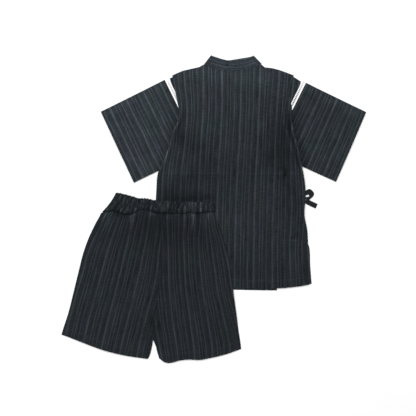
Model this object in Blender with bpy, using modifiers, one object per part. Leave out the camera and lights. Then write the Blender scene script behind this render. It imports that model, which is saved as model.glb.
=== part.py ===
"""A child's jinbei set laid flat on a floor.

The top lies face down with its collar away from the viewer, and the shorts lie across its lower left
corner. Lengths in the tables are millimetres. Each garment has its own flat frame: across runs to the
right, and down runs from the neck or the waist towards the hem. A panel is an open sheet of inner points,
turned under at its folded edges, and Solidify gives it the thickness of the cloth on its outer side.
"""

import math
from collections import namedtuple

import bmesh
import bpy

MM = 0.001

# Cloth and how it lies
CLOTH = 1.1
AIR = 0.5
LAYER = CLOTH + AIR
SEAM = 0.3
BEND = AIR / 2
RIM = CLOTH + BEND
LEDGE = 20.0
DRAPE = 55.0

# Where each garment lies: the place of its frame in the set, and its turn
TOP_X, TOP_Y, TOP_TURN = 40.46, 290.86, 0.0
SHORTS_X, SHORTS_Y, SHORTS_TURN = -101.94, 22.96, -5.7

# The top
SIDE_TUCK = 4.5
ARM_TUCK = 24.0
FRONT_INSET = RIM + SIDE_TUCK + 1.5
NECK_HALF = 59.0
NECK_DROP = 14.4
NECK_CORNER = -13.4
NECK_COLUMNS = 8
FOLD_OUT = 1.4
LACE_WIDTH = 9.8
LACE_WALL = 1.0
SLEEVE_STACK = 3 * LAYER + 0.3
SLEEVE_RUN_OUT = 34.0
VENT_START, VENT_OPEN = 265.0, 315.0
SLEEVE_PUFF = 2.4
BACK_ROWS, FRONT_COLUMNS, SLEEVE_COLUMNS, SLEEVE_ROWS = 25, 10, 8, 8

# The side bow
KNOT_ACROSS, KNOT_DOWN = 146.0, 268.0
KNOT_LONG, KNOT_WIDE, KNOT_HIGH = 13.0, 12.0, 4.6
BOW_LIFT = 5.2
BOW_REACH, BOW_DRAPE = 30.0, 45.0
TIE_WIDTH = 8.8
TIE_WALL = 1.6

# The shorts
BAND_WALL = 2.4
BAND_DENT = 2.8
RUFFLES = 24
RUFFLE_HEIGHT = 1.3
BAND_ROWS = 3
RUFFLE_SHARES = [0.6, 1.0, 0.9, 0.3]
LEG_PUFF = 1.6
SHORTS_REST = 3 * LAYER
SHORTS_DRAPE = 90.0
LEG_COLUMNS, LEG_ROWS, FOOT_ROWS = 26, 14, 3
CROTCH = 298.0

Edge = namedtuple("Edge", "down left right")
Line = namedtuple("Line", "across down")
Band = namedtuple("Band", "seam_across seam_down free_across free_down")
Sleeve = namedtuple("Sleeve", "side root_top root_bottom cuff_top cuff_bottom")
Ridge = namedtuple("Ridge", "across down to_across to_down width height")
Gather = namedtuple("Gather", "across lean width length height")

# Side edges of the back: shoulder tip, armhole fold, armpit, waist, vent and hem
BACK_SIDES = [
    Edge(10.7, -125.6, 127.3),
    Edge(41.0, -117.5, 119.7),
    Edge(60.0, -114.6, 117.8),
    Edge(87.0, -111.7, 119.7),
    Edge(104.0, -114.8, 120.8),
    Edge(127.0, -126.0, 127.0),
    Edge(162.0, -135.5, 136.4),
    Edge(192.0, -147.0, 142.2),
    Edge(217.0, -157.9, 147.8),
    Edge(243.0, -160.5, 151.4),
    Edge(268.0, -162.1, 152.0),
    Edge(302.0, -163.5, 149.5),
    Edge(336.0, -165.7, 156.0),
    Edge(362.0, -168.0, 157.5),
    Edge(450.0, -171.0, 160.9),
]

# Upper edge of the back between the shoulder tips, apart from the neckline
SHOULDERS = [
    Line(-125.6, 10.2),
    Line(-104.2, 0.7),
    Line(-85.3, -3.8),
    Line(-69.5, -7.2),
    Line(-NECK_HALF, NECK_CORNER),
    Line(NECK_HALF, NECK_CORNER),
    Line(65.5, -6.8),
    Line(82.0, -5.0),
    Line(98.3, -0.8),
    Line(107.1, 2.5),
    Line(127.3, 10.1),
]

BACK_HEM = [
    Line(-171.0, 451.0),
    Line(-100.0, 455.5),
    Line(0.0, 456.0),
    Line(44.5, 457.8),
    Line(99.8, 457.2),
    Line(120.8, 455.5),
    Line(141.8, 453.0),
    Line(160.9, 449.6),
]

# Side edges of the fronts: the shoulder strip that shows beside the lace, the inset under the back, the vent
FRONT_SIDES = [
    Edge(16.4, -133.0, 142.5),
    Edge(24.0, -130.4, 142.5),
    Edge(41.0, -124.0, 136.5),
    Edge(56.0, -117.0, 129.0),
    Edge(87.0, -111.7 + FRONT_INSET, 119.7 - FRONT_INSET),
    Edge(104.0, -114.8 + FRONT_INSET, 120.8 - FRONT_INSET),
    Edge(127.0, -126.0 + FRONT_INSET, 127.0 - FRONT_INSET),
    Edge(162.0, -135.5 + FRONT_INSET, 136.4 - FRONT_INSET),
    Edge(192.0, -147.0 + FRONT_INSET, 142.2 - FRONT_INSET),
    Edge(217.0, -157.9 + FRONT_INSET, 147.8 - FRONT_INSET),
    Edge(243.0, -160.5 + FRONT_INSET, 151.4 - FRONT_INSET),
    Edge(268.0, -162.1 + FRONT_INSET, 152.0 - FRONT_INSET),
    Edge(302.0, -163.5 + FRONT_INSET, 149.5 - FRONT_INSET),
    Edge(336.0, -165.7 + FRONT_INSET, 156.0 - FRONT_INSET),
    Edge(350.0, -166.9 + FRONT_INSET, 156.8 - FRONT_INSET),
    Edge(370.0, -171.2, 160.0),
    Edge(410.0, -173.2, 162.4),
    Edge(448.0, -175.5, 165.3),
]
OUTER_SHOULDER = [Line(-133.0, 16.4), Line(-104.0, 2.4), Line(-69.5, -5.0), Line(-NECK_HALF, NECK_CORNER)]
INNER_SHOULDER = [
    Line(NECK_HALF, NECK_CORNER),
    Line(69.5, -4.5),
    Line(104.0, 3.4),
    Line(130.0, 14.4),
    Line(142.5, 22.8),
]
OUTER_HEM = [Line(-175.5, 452.0), Line(-100.0, 457.0), Line(1.0, 460.5), Line(70.4, 462.0)]
INNER_HEM = [Line(-70.4, 453.5), Line(60.0, 454.0), Line(120.0, 452.5), Line(165.7, 448.4)]

# The collar band along a front, from the hem up to the fold beside the neck
FRONT_BAND = [
    Band(70.4, 462.0, 92.4, 462.0),
    Band(70.4, 440.0, 92.4, 440.0),
    Band(70.4, 418.0, 92.4, 418.0),
    Band(70.4, 396.0, 92.4, 396.0),
    Band(70.4, 374.0, 92.4, 373.5),
    Band(70.4, 352.0, 92.4, 351.0),
    Band(70.4, 330.0, 92.4, 328.0),
    Band(69.8, 305.0, 91.7, 301.0),
    Band(68.5, 280.0, 90.3, 275.0),
    Band(66.2, 256.0, 87.8, 250.0),
    Band(63.0, 232.0, 84.3, 225.0),
    Band(58.2, 208.0, 79.3, 200.0),
    Band(52.0, 185.0, 72.5, 176.0),
    Band(45.4, 162.0, 65.5, 152.0),
    Band(37.5, 140.0, 57.0, 129.0),
    Band(28.4, 117.5, 47.4, 105.8),
    Band(18.0, 96.0, 36.5, 83.5),
    Band(6.8, 75.5, 24.5, 62.3),
    Band(-6.0, 56.0, 11.0, 42.0),
    Band(-18.6, 37.6, -2.6, 22.7),
    Band(-32.0, 20.0, -17.0, 4.0),
    Band(-46.0, 3.2, -31.6, -13.3),
]

# Outer edge of the collar behind the neck, between its two folds
NECK_TOP = [
    Line(-46.4, -31.8),
    Line(-35.7, -28.4),
    Line(-23.1, -24.3),
    Line(-10.5, -21.5),
    Line(4.2, -23.4),
    Line(21.0, -26.3),
    Line(35.7, -28.9),
    Line(43.4, -31.4),
]

SLEEVES = [
    Sleeve("left", Line(-143.8, 19.4), Line(-70.8, 168.6), Line(-277.9, 86.2), Line(-208.2, 235.5)),
    Sleeve("right", Line(155.2, 25.0), Line(80.6, 172.2), Line(279.8, 87.0), Line(216.4, 233.6)),
]

# The broadest folds that stand up in the back
BACK_RIDGES = [
    Ridge(-128.0, 150.0, -98.0, 214.0, 12.0, 1.6),
    Ridge(114.0, 112.0, 124.0, 188.0, 10.0, 1.8),
    Ridge(92.0, 48.0, 100.0, 150.0, 15.0, 1.4),
    Ridge(-62.0, 42.0, -54.0, 140.0, 18.0, 1.1),
    Ridge(-110.0, 221.0, 118.0, 221.0, 10.0, 0.8),
    Ridge(96.0, 214.0, 132.0, 238.0, 9.0, 1.5),
]

# Visible loop of the bow, round from the knot and back: its outer edge, then the edge of its hole
BOW_LOOP = [
    Band(143.5, 260.8, 150.4, 260.9),
    Band(151.5, 254.2, 154.2, 261.0),
    Band(160.7, 249.5, 157.8, 260.8),
    Band(165.8, 253.4, 159.2, 261.6),
    Band(169.5, 259.1, 160.0, 263.3),
    Band(166.8, 263.6, 159.2, 264.8),
    Band(162.8, 267.5, 157.4, 266.2),
    Band(157.6, 271.4, 153.4, 266.9),
]
BOW_LOOP_HEIGHTS = [2.4, 2.2, 1.4, 1.0, 0.8, 1.2, 1.8, 2.4]
BOW_TAIL = [Line(152.9, 273.0), Line(160.0, 277.6), Line(168.0, 281.4), Line(175.6, 285.0)]
HIDDEN_TAIL = [Line(138.6, 263.2), Line(133.1, 256.7), Line(128.4, 248.8)]
HIDDEN_LOOP = [Line(143.9, 275.4), Line(141.0, 284.8), Line(136.8, 293.8)]
FRONT_TIE = [Line(92.6, 267.0), Line(108.0, 268.4), Line(124.0, 269.9), Line(138.9, 271.3)]
SIDE_TIE = [Line(147.2, 246.0), Line(147.2, 254.0), Line(147.2, 261.6)]

# Sides of the shorts, from the waist seam to the hem
SHORTS_SIDES = [
    Edge(0.0, -104.0, 104.0),
    Edge(20.0, -112.0, 108.0),
    Edge(39.0, -126.6, 114.8),
    Edge(57.0, -136.0, 123.3),
    Edge(74.0, -143.1, 131.0),
    Edge(101.0, -152.5, 142.6),
    Edge(133.0, -160.4, 150.3),
    Edge(165.0, -165.2, 158.5),
    Edge(195.0, -169.4, 165.1),
    Edge(228.0, -174.0, 173.1),
    Edge(261.0, -179.0, 180.8),
    Edge(294.0, -186.2, 189.1),
    Edge(309.0, -189.1, 191.5),
]

# Inner edges of the legs: one centre seam as far as the crotch, then the two inside legs
SHORTS_MIDDLE = [
    Edge(30.0, -11.0, -11.0),
    Edge(70.0, -2.0, -2.0),
    Edge(110.0, 2.0, 2.0),
    Edge(180.0, 4.0, 4.0),
    Edge(240.0, 4.0, 4.0),
    Edge(298.0, 4.0, 4.2),
    Edge(312.0, 3.2, 11.7),
    Edge(321.0, 2.1, 14.6),
    Edge(330.0, 0.9, 18.4),
    Edge(339.0, -2.9, 22.4),
]

LEFT_HEM = [
    Line(-189.1, 307.4),
    Line(-167.1, 312.9),
    Line(-122.4, 325.0),
    Line(-97.4, 331.0),
    Line(-67.1, 335.8),
    Line(-40.5, 338.3),
    Line(-2.8, 339.8),
]
RIGHT_HEM = [
    Line(22.4, 336.3),
    Line(34.0, 343.2),
    Line(46.5, 343.3),
    Line(66.8, 335.9),
    Line(86.6, 332.3),
    Line(107.5, 330.9),
    Line(128.0, 325.0),
    Line(158.6, 314.6),
    Line(190.4, 300.4),
]

WAIST_TOP = [
    Line(-103.9, 0.0),
    Line(-98.0, -0.9),
    Line(-82.0, 1.2),
    Line(-69.0, 3.4),
    Line(-56.0, 5.8),
    Line(-34.0, 5.4),
    Line(-20.0, 7.0),
    Line(6.0, 5.8),
    Line(27.0, 4.4),
    Line(64.0, 2.5),
    Line(84.0, 1.2),
    Line(104.4, 2.0),
]
WAIST_SEAM = [
    Line(-129.4, 44.0),
    Line(-114.0, 40.0),
    Line(-103.0, 38.4),
    Line(-91.0, 41.0),
    Line(-74.0, 40.6),
    Line(-61.0, 34.0),
    Line(-40.0, 29.8),
    Line(-25.0, 30.0),
    Line(-11.0, 31.4),
    Line(6.3, 31.2),
    Line(21.2, 32.0),
    Line(40.8, 28.6),
    Line(58.9, 26.0),
    Line(76.8, 23.1),
    Line(91.1, 19.4),
    Line(107.6, 17.4),
]

# Gathers that run down from the waist seam: where each starts, how far it leans, and its size
GATHERS = [
    Gather(-104.0, -14.0, 7.0, 60.0, 2.0),
    Gather(-84.0, -8.0, 6.0, 42.0, 1.6),
    Gather(-61.0, -6.0, 5.0, 48.0, 2.6),
    Gather(-43.0, -5.0, 6.0, 34.0, 1.4),
    Gather(-24.0, -2.0, 5.0, 40.0, 1.8),
    Gather(-8.0, -1.0, 5.0, 30.0, 1.3),
    Gather(12.0, 0.0, 5.0, 52.0, 1.7),
    Gather(30.0, 4.0, 6.0, 38.0, 1.9),
    Gather(46.0, 5.0, 5.0, 44.0, 1.5),
    Gather(62.0, 8.0, 5.0, 56.0, 2.6),
    Gather(80.0, 12.0, 6.0, 46.0, 1.6),
    Gather(95.0, 24.0, 6.0, 70.0, 2.2),
]


def straight(rows, key, value):
    """Value at any key on straight lines through a table's rows, carried on level past its ends."""
    points = [(getattr(row, key), getattr(row, value)) for row in rows]

    def at(k):
        if k <= points[0][0]:
            return points[0][1]
        for (k0, v0), (k1, v1) in zip(points, points[1:]):
            if k <= k1:
                return v0 + (v1 - v0) * (k - k0) / (k1 - k0)
        return points[-1][1]

    return at


def smooth(rows, key, value):
    """The same on a smooth curve, whose slope at each row is that of its two neighbours."""
    keys = [getattr(row, key) for row in rows]
    values = [getattr(row, value) for row in rows]
    last = len(keys) - 1

    def slope(i):
        a, b = max(i - 1, 0), min(i + 1, last)
        return (values[b] - values[a]) / (keys[b] - keys[a])

    def at(k):
        if k <= keys[0]:
            return values[0]
        if k >= keys[last]:
            return values[last]
        i = max(n for n in range(last) if keys[n] <= k)
        span = keys[i + 1] - keys[i]
        t = (k - keys[i]) / span
        rise = values[i + 1] - values[i]
        ease = t * t * (3 - 2 * t)
        start = t * (1 - t) * (1 - t) * slope(i) * span
        end = t * t * (1 - t) * slope(i + 1) * span
        return values[i] + rise * ease + start - end

    return at


def mix(a, b, t):
    return a + (b - a) * t


def cover(outside, ledge=LEDGE, drape=DRAPE):
    """1 on what lies below and on a ledge around it, then an even fall to 0 over the drape."""
    t = min(max((outside - ledge) / drape, 0.0), 1.0)
    return 1 - t * t * (3 - 2 * t)


def spread(first, last, count):
    """Evenly spaced values, with both ends."""
    return [mix(first, last, i / count) for i in range(count + 1)]


FOLD_START = Band(-NECK_HALF - FOLD_OUT + RIM, NECK_CORNER - 2 * SEAM, -44.8, -31.8)
back_left = smooth(BACK_SIDES, "down", "left")
back_right = smooth(BACK_SIDES, "down", "right")
front_left = smooth(FRONT_SIDES, "down", "left")
front_right = smooth(FRONT_SIDES, "down", "right")
front_seam = smooth([FOLD_START] + list(reversed(FRONT_BAND)), "seam_down", "seam_across")
front_free = smooth([FOLD_START] + list(reversed(FRONT_BAND)), "free_down", "free_across")
shorts_left = smooth(SHORTS_SIDES, "down", "left")
shorts_right = smooth(SHORTS_SIDES, "down", "right")
waist_top = smooth(WAIST_TOP, "across", "down")
waist_seam = smooth(WAIST_SEAM, "across", "down")


def neckline(across):
    return NECK_CORNER + NECK_DROP * (1 - (across / NECK_HALF) ** 2)


def set_place(across, down, x, y, turn):
    """A point of a garment's frame in the set's frame."""
    angle = math.radians(turn)
    up = -down
    return (
        x + across * math.cos(angle) - up * math.sin(angle),
        y + across * math.sin(angle) + up * math.cos(angle),
    )


def away_from(across, down, ridge):
    """How far a point is from a ridge's line."""
    run_across, run_down = ridge.to_across - ridge.across, ridge.to_down - ridge.down
    off_across, off_down = across - ridge.across, down - ridge.down
    along = (off_across * run_across + off_down * run_down) / (run_across**2 + run_down**2)
    t = min(max(along, 0.0), 1.0)
    return math.hypot(off_across - t * run_across, off_down - t * run_down)


def sleeve_reach(across, down, sleeve):
    """How far a point of the body is outside a sleeve's root and its lace."""
    run_across = sleeve.root_bottom.across - sleeve.root_top.across
    run_down = sleeve.root_bottom.down - sleeve.root_top.down
    length = math.hypot(run_across, run_down)
    off_across, off_down = across - sleeve.root_top.across, down - sleeve.root_top.down
    along = (off_across * run_across + off_down * run_down) / length
    inward = (off_across * run_down - off_down * run_across) / length
    if sleeve.side == "right":
        inward = -inward
    return max(inward - LACE_WIDTH, along - length, -along)


def bow_rise(across, down):
    """Height of what lies over the bow."""
    away = math.hypot(across - KNOT_ACROSS, down - KNOT_DOWN)
    return BOW_LIFT * cover(away, BOW_REACH, BOW_DRAPE)


def on_outer_front(across, down):
    """Share of a layer that lies below a point: 1 over the outer front, and 0 where the floor is reached."""
    return cover(across - front_free(down))


def fronts_height(across, down):
    """Height of what rests on the fronts: one layer, or two where they cross and where the vents open."""
    crossed = on_outer_front(across, down) * cover(-front_free(down) - across)
    vent = min(max((down - VENT_START) / (VENT_OPEN - VENT_START), 0.0), 1.0)
    return LAYER * (2 - (1 - crossed) * (1 - vent))


def back_height(across, down):
    """Height of the underside of the back."""
    roots = max(cover(sleeve_reach(across, down, s), LEDGE, SLEEVE_RUN_OUT) for s in SLEEVES)
    roots *= cover(53.0 - down, 12.0, 26.0)
    from_edge = min(across - back_left(down), back_right(down) - across)
    shoulder = cover(from_edge, 12.0, 30.0) * cover(down - 53.0)
    clear_of_shorts = cover(down - 235.0, 0.0, 30.0)
    folds = sum(r.height * math.exp(-((away_from(across, down, r) / r.width) ** 2)) for r in BACK_RIDGES)
    raised = max(SLEEVE_STACK * roots, LAYER * shoulder, bow_rise(across, down))
    return fronts_height(across, down) + raised + folds * clear_of_shorts


def arm_tuck(down):
    """Width turned under at the side of the back: wide over the sleeve's root, narrow at the side seam."""
    return mix(SIDE_TUCK, ARM_TUCK, cover(abs(down - 120.0), 50.0, 45.0))


def shorts_height(across, down):
    """Height of what the shorts rest on: the floor, or the top where they lie over it."""
    x, y = set_place(across, down, SHORTS_X, SHORTS_Y, SHORTS_TURN)
    top_across, top_down = x - TOP_X, TOP_Y - y
    outside = max(back_left(top_down) - 5.0 - top_across, top_down - OUTER_HEM[-1].down)
    return SHORTS_REST * cover(outside, LEDGE, SHORTS_DRAPE)


def turned_over(wall=CLOTH):
    """(inset, drop) of the points that turn a sheet over at its edge, from the lower layer to the upper."""
    rim = wall + BEND
    return [(rim - BEND * math.sin(a), BEND + BEND * math.cos(a)) for a in spread(0.0, math.pi, 4)]


def cloth(name, columns, rows, point, material, parent, wall=CLOTH, flipped=False):
    """A sheet of cloth: point(column, row) gives its inner face in the garment's frame."""
    bm = bmesh.new()
    bmesh.ops.create_grid(bm, x_segments=columns - 1, y_segments=rows - 1, size=0.5)
    for vertex in bm.verts:
        column = round((vertex.co.x + 0.5) * (columns - 1))
        row = round((0.5 - vertex.co.y) * (rows - 1))
        across, down, height = point(column, row)
        vertex.co = (across * MM, -down * MM, height * MM)
    if flipped:
        bmesh.ops.reverse_faces(bm, faces=bm.faces)
    mesh = bpy.data.meshes.new(name)
    bm.to_mesh(mesh)
    bm.free()
    mesh.shade_smooth()
    mesh.set_sharp_from_angle(angle=math.radians(40))
    mesh.materials.append(material)
    piece = bpy.data.objects.new(name, mesh)
    piece.parent = parent
    parent.users_collection[0].objects.link(piece)
    solidify = piece.modifiers.new("cloth wall", "SOLIDIFY")
    solidify.thickness = wall * MM
    solidify.offset = 1.0
    solidify.use_even_offset = True
    return piece


def ribbon(name, edges, heights, material, parent, wall=CLOTH, flipped=False):
    """A strip of cloth between two edges, with the height of its inner face at each pair of edge points."""

    def point(column, row):
        e = edges[row]
        place = (e.seam_across, e.seam_down) if column == 0 else (e.free_across, e.free_down)
        return (*place, heights[row])

    return cloth(name, 2, len(edges), point, material, parent, wall, flipped)


def strip_edges(line, width):
    """The two sides of a strip of even width along a line."""
    edges = []
    for i, p in enumerate(line):
        a, b = line[max(i - 1, 0)], line[min(i + 1, len(line) - 1)]
        run = math.hypot(b.across - a.across, b.down - a.down)
        side_across = (b.down - a.down) / run * width / 2
        side_down = -(b.across - a.across) / run * width / 2
        near = (p.across - side_across, p.down - side_down)
        far = (p.across + side_across, p.down + side_down)
        edges.append(Band(*near, *far))
    return edges


def make_back(material, parent):
    """The back: one panel from hem to shoulders, with both side edges turned under."""
    shoulder = straight(SHOULDERS, "across", "down")
    hem = smooth(BACK_HEM, "across", "down")
    left_tip, right_tip = SHOULDERS[0].across, SHOULDERS[-1].across
    top_across = spread(left_tip + RIM, -NECK_HALF, 5)[1:-1]
    top_across += spread(-NECK_HALF, NECK_HALF, NECK_COLUMNS)
    top_across += spread(NECK_HALF, right_tip - RIM, 5)[1:-1]
    rows = spread(0.0, 1.0, BACK_ROWS)
    turn = turned_over()
    stations = [("left", None)] + [("left", p) for p in turn]
    stations += [("main", a) for a in top_across]
    stations += [("right", p) for p in reversed(turn)] + [("right", None)]

    def point(column, row):
        kind, where = stations[column]
        v = rows[row]
        left_down = mix(SHOULDERS[0].down, BACK_HEM[0].down, v)
        right_down = mix(SHOULDERS[-1].down, BACK_HEM[-1].down, v)
        left, right = back_left(left_down), back_right(right_down)
        if kind == "main":
            w = (where - left_tip - RIM) / (right_tip - left_tip - 2 * RIM)
            start = neckline(where) if abs(where) < NECK_HALF else shoulder(where)
            down = mix(start, hem(mix(BACK_HEM[0].across, BACK_HEM[-1].across, w)), v)
            across = mix(left + RIM, right - RIM, w)
            return across, down, back_height(across, down)
        edge, down, inward = (left, left_down, 1) if kind == "left" else (right, right_down, -1)
        if where:
            inset, drop = where
            return edge + inward * inset, down, back_height(edge + inward * RIM, down) - drop
        across = edge + inward * (RIM + arm_tuck(down))
        return across, down, back_height(across, down) - AIR

    return cloth("top_back", len(stations), len(rows), point, material, parent)


def make_front(side, material, parent):
    """A front: the left one lies on the floor, and the right one crosses over it."""
    left = side == "left"
    hem = smooth(OUTER_HEM if left else INNER_HEM, "across", "down")
    hem_seam = OUTER_HEM[-1] if left else INNER_HEM[0]
    hem_side = OUTER_HEM[0] if left else INNER_HEM[-1]
    shoulder = straight(OUTER_SHOULDER if left else INNER_SHOULDER, "across", "down")
    side_tip = OUTER_SHOULDER[0] if left else INNER_SHOULDER[-1]
    levels = [FOLD_START.seam_down] + [edge.seam_down for edge in reversed(FRONT_BAND)]
    columns = spread(0.0, 1.0, FRONT_COLUMNS)

    def point(column, row):
        w = columns[column] if left else 1 - columns[column]
        v = (levels[row] - levels[0]) / (levels[-1] - levels[0])
        start = shoulder(mix(side_tip.across, -NECK_HALF if left else NECK_HALF, w))
        down = mix(start, hem(mix(hem_side.across, hem_seam.across, w)), v)
        seam = front_seam(levels[row]) - SEAM * 1.2
        if left:
            return mix(front_left(down), seam, w), down, 0.0
        across = mix(front_right(down), -seam, w)
        return across, down, LAYER * on_outer_front(across, down) + bow_rise(across, down)

    return cloth(f"top_front_{side}", len(columns), len(levels), point, material, parent)


def make_collar(material, parent):
    """The collar: one band up the left front, folded beside the neck, round it and down the right front."""
    neck_top = smooth(NECK_TOP, "across", "down")

    def fold(inward):
        """The points that turn the band over beside the neck, from the floor up to the back's edge."""
        corner = inward * -(NECK_HALF + FOLD_OUT)
        radius = (back_height(corner, NECK_CORNER) - CLOTH) / 2
        free = NECK_TOP[0] if inward > 0 else NECK_TOP[-1]
        made = []
        for a in spread(0.0, math.pi, 4):
            shift = inward * (CLOTH + radius * (1 - math.sin(a)))
            edge = Band(corner + shift, NECK_CORNER - 2 * SEAM, free.across + shift, free.down)
            made.append((edge, CLOTH + radius * (1 - math.cos(a))))
        return made

    sections = [(edge, CLOTH) for edge in FRONT_BAND]
    sections += fold(1)
    for across in spread(-NECK_HALF, NECK_HALF, NECK_COLUMNS)[1:-1]:
        free = mix(NECK_TOP[0].across, NECK_TOP[-1].across, (across + NECK_HALF) / (2 * NECK_HALF))
        down = neckline(across)
        edge = Band(across, down - SEAM * 1.2, free, neck_top(free))
        sections.append((edge, back_height(across, down)))
    sections += reversed(fold(-1))
    shortening = (INNER_HEM[0].down - NECK_CORNER) / (FRONT_BAND[0].seam_down - NECK_CORNER)
    for edge in reversed(FRONT_BAND):
        seam_down, free_down = (
            NECK_CORNER + (d - NECK_CORNER) * shortening for d in (edge.seam_down, edge.free_down)
        )
        middle = -(edge.seam_across + edge.free_across) / 2
        mirrored = Band(-edge.seam_across, seam_down, -edge.free_across, free_down)
        sections.append((mirrored, CLOTH + LAYER * on_outer_front(middle, seam_down)))
    return ribbon("collar", [s[0] for s in sections], [s[1] for s in sections], material, parent)


def folded_ring():
    """Stations round a ring pressed flat: up its lower layer, over the fold, and down its upper layer."""
    steps = spread(0.0, 1.0, SLEEVE_COLUMNS)
    lower = [("lower", t) for t in reversed(steps[1:])]
    return lower + [("fold", p) for p in turned_over()] + [("upper", t) for t in steps[1:]]


def make_sleeve(sleeve, material, parent):
    """A sleeve: one piece folded along its upper edge, open at the cuff and at the root."""
    stations = folded_ring()
    rows = spread(0.0, 1.0, SLEEVE_ROWS)
    fall = sleeve.root_bottom.down - sleeve.root_top.down
    depth = math.hypot(sleeve.root_bottom.across - sleeve.root_top.across, fall)

    def point(column, row):
        kind, where = stations[column]
        s = rows[row]
        inset, drop = where if kind == "fold" else (mix(RIM, depth, where), AIR if kind == "lower" else 0.0)
        t = inset / depth
        across = mix(
            mix(sleeve.root_top.across, sleeve.cuff_top.across, s),
            mix(sleeve.root_bottom.across, sleeve.cuff_bottom.across, s),
            t,
        )
        down = mix(
            mix(sleeve.root_top.down, sleeve.cuff_top.down, s),
            mix(sleeve.root_bottom.down, sleeve.cuff_bottom.down, s),
            t,
        )
        outside = back_left(down) - across if sleeve.side == "left" else across - back_right(down)
        lying = cover(outside)
        height = fronts_height(across, down) * lying + LAYER - drop
        if kind == "upper":
            height += SLEEVE_PUFF * (1 - lying) * math.sin(math.pi * t)
        return across, down, height

    flipped = sleeve.side == "right"
    return cloth(f"sleeve_{sleeve.side}", len(stations), len(rows), point, material, parent, flipped=flipped)


def make_lace(sleeve, material, parent):
    """The lace between the sleeve's root and the body: a narrow ring, flat like the sleeve."""
    stations = folded_ring()
    run_across = sleeve.root_bottom.across - sleeve.root_top.across
    run_down = sleeve.root_bottom.down - sleeve.root_top.down
    depth = math.hypot(run_across, run_down)
    inward = 1 if sleeve.side == "left" else -1
    offsets = (SEAM, LACE_WIDTH)

    def point(column, row):
        kind, where = stations[column]
        inset, drop = where if kind == "fold" else (mix(RIM, depth, where), AIR if kind == "lower" else 0.0)
        across = sleeve.root_top.across + (run_across * inset + inward * run_down * offsets[row]) / depth
        down = sleeve.root_top.down + (run_down * inset - inward * run_across * offsets[row]) / depth
        outside = back_left(down) - across if sleeve.side == "left" else across - back_right(down)
        return across, down, fronts_height(across, down) * cover(outside) + LAYER - drop

    name, flipped = f"lace_{sleeve.side}", sleeve.side == "left"
    return cloth(name, len(stations), len(offsets), point, material, parent, LACE_WALL, flipped)


def make_bow(material, parent):
    """The ties knotted in a bow at the right side, with one loop and one tail out from under the edge."""
    bpy.ops.mesh.primitive_cube_add(size=1.0)
    knot = bpy.context.object
    knot.name = knot.data.name = "bow_knot"
    for vertex in knot.data.vertices:
        vertex.co.x *= KNOT_LONG * MM
        vertex.co.y *= KNOT_WIDE * MM
        vertex.co.z *= KNOT_HIGH * MM
    knot.data.shade_smooth()
    knot.location = (KNOT_ACROSS * MM, -KNOT_DOWN * MM, KNOT_HIGH / 2 * MM)
    rounded = knot.modifiers.new("rounded", "BEVEL")
    rounded.width = 1.9 * MM
    rounded.segments = 3
    knot.data.materials.append(material)
    for collection in list(knot.users_collection):
        collection.objects.unlink(knot)
    parent.users_collection[0].objects.link(knot)
    knot.parent = parent

    ribbon("bow_loop", BOW_LOOP, BOW_LOOP_HEIGHTS, material, parent, TIE_WALL, flipped=True)
    flat = {
        "bow_tail": BOW_TAIL,
        "bow_tail_under": HIDDEN_TAIL,
        "tie_from_front": FRONT_TIE,
        "tie_from_side": SIDE_TIE,
    }
    for name, line in flat.items():
        ribbon(name, strip_edges(line, TIE_WIDTH), [0.0] * len(line), material, parent, TIE_WALL)

    out = strip_edges(HIDDEN_LOOP, TIE_WIDTH)
    end, last = HIDDEN_LOOP[-1], out[-1]
    run = math.hypot(end.across - HIDDEN_LOOP[0].across, end.down - HIDDEN_LOOP[0].down)
    step_across = (end.across - HIDDEN_LOOP[0].across) / run * BEND
    step_down = (end.down - HIDDEN_LOOP[0].down) / run * BEND
    tip = Band(
        last.seam_across + step_across,
        last.seam_down + step_down,
        last.free_across + step_across,
        last.free_down + step_down,
    )
    loop = out + [tip] + list(reversed(out))
    heights = [CLOTH] * len(out) + [CLOTH + BEND] + [LAYER] * len(out)
    ribbon("bow_loop_under", loop, heights, material, parent, flipped=True)


def leg_seam_points(side, every):
    """Points where a leg meets the waistband, from its outer side to the centre seam."""
    outer, middle = (WAIST_SEAM[0].across, SHORTS_MIDDLE[0].left)
    if side == "right":
        outer = WAIST_SEAM[-1].across
    points = [Line(a, waist_seam(a)) for a in spread(outer, middle, LEG_COLUMNS)]
    return points[::every]


def leg_levels(side):
    """Levels of a leg's rows at its inner edge: the same for both legs down to the crotch."""
    foot = (LEFT_HEM[-1] if side == "left" else RIGHT_HEM[0]).down
    start = waist_seam(SHORTS_MIDDLE[0].left) + SEAM
    seat = [mix(start, CROTCH, t**1.25) for t in spread(0.0, 1.0, LEG_ROWS)]
    return seat + spread(CROTCH, foot, FOOT_ROWS)[1:]


def gathers(across, down, seam_down, from_side):
    """Height of the gathers below the waistband and of the leg's fullness, none of it at the leg's side."""
    below = max(down - seam_down, 0.0)
    height = 1.2 * math.exp(-below / 12.0)
    for g in GATHERS:
        reach = min(below / g.length, 1.0)
        away = across - (g.across + g.lean * reach)
        stands = (1 - reach) ** 1.5 * min(0.3 + below / 12.0, 1.0)
        height += g.height * math.exp(-((away / g.width) ** 2)) * stands
    puff = LEG_PUFF * math.sin(math.pi * from_side) * (1 - math.exp(-below / 60.0))
    return (height + puff) * min(from_side * 8, 1.0)


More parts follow.
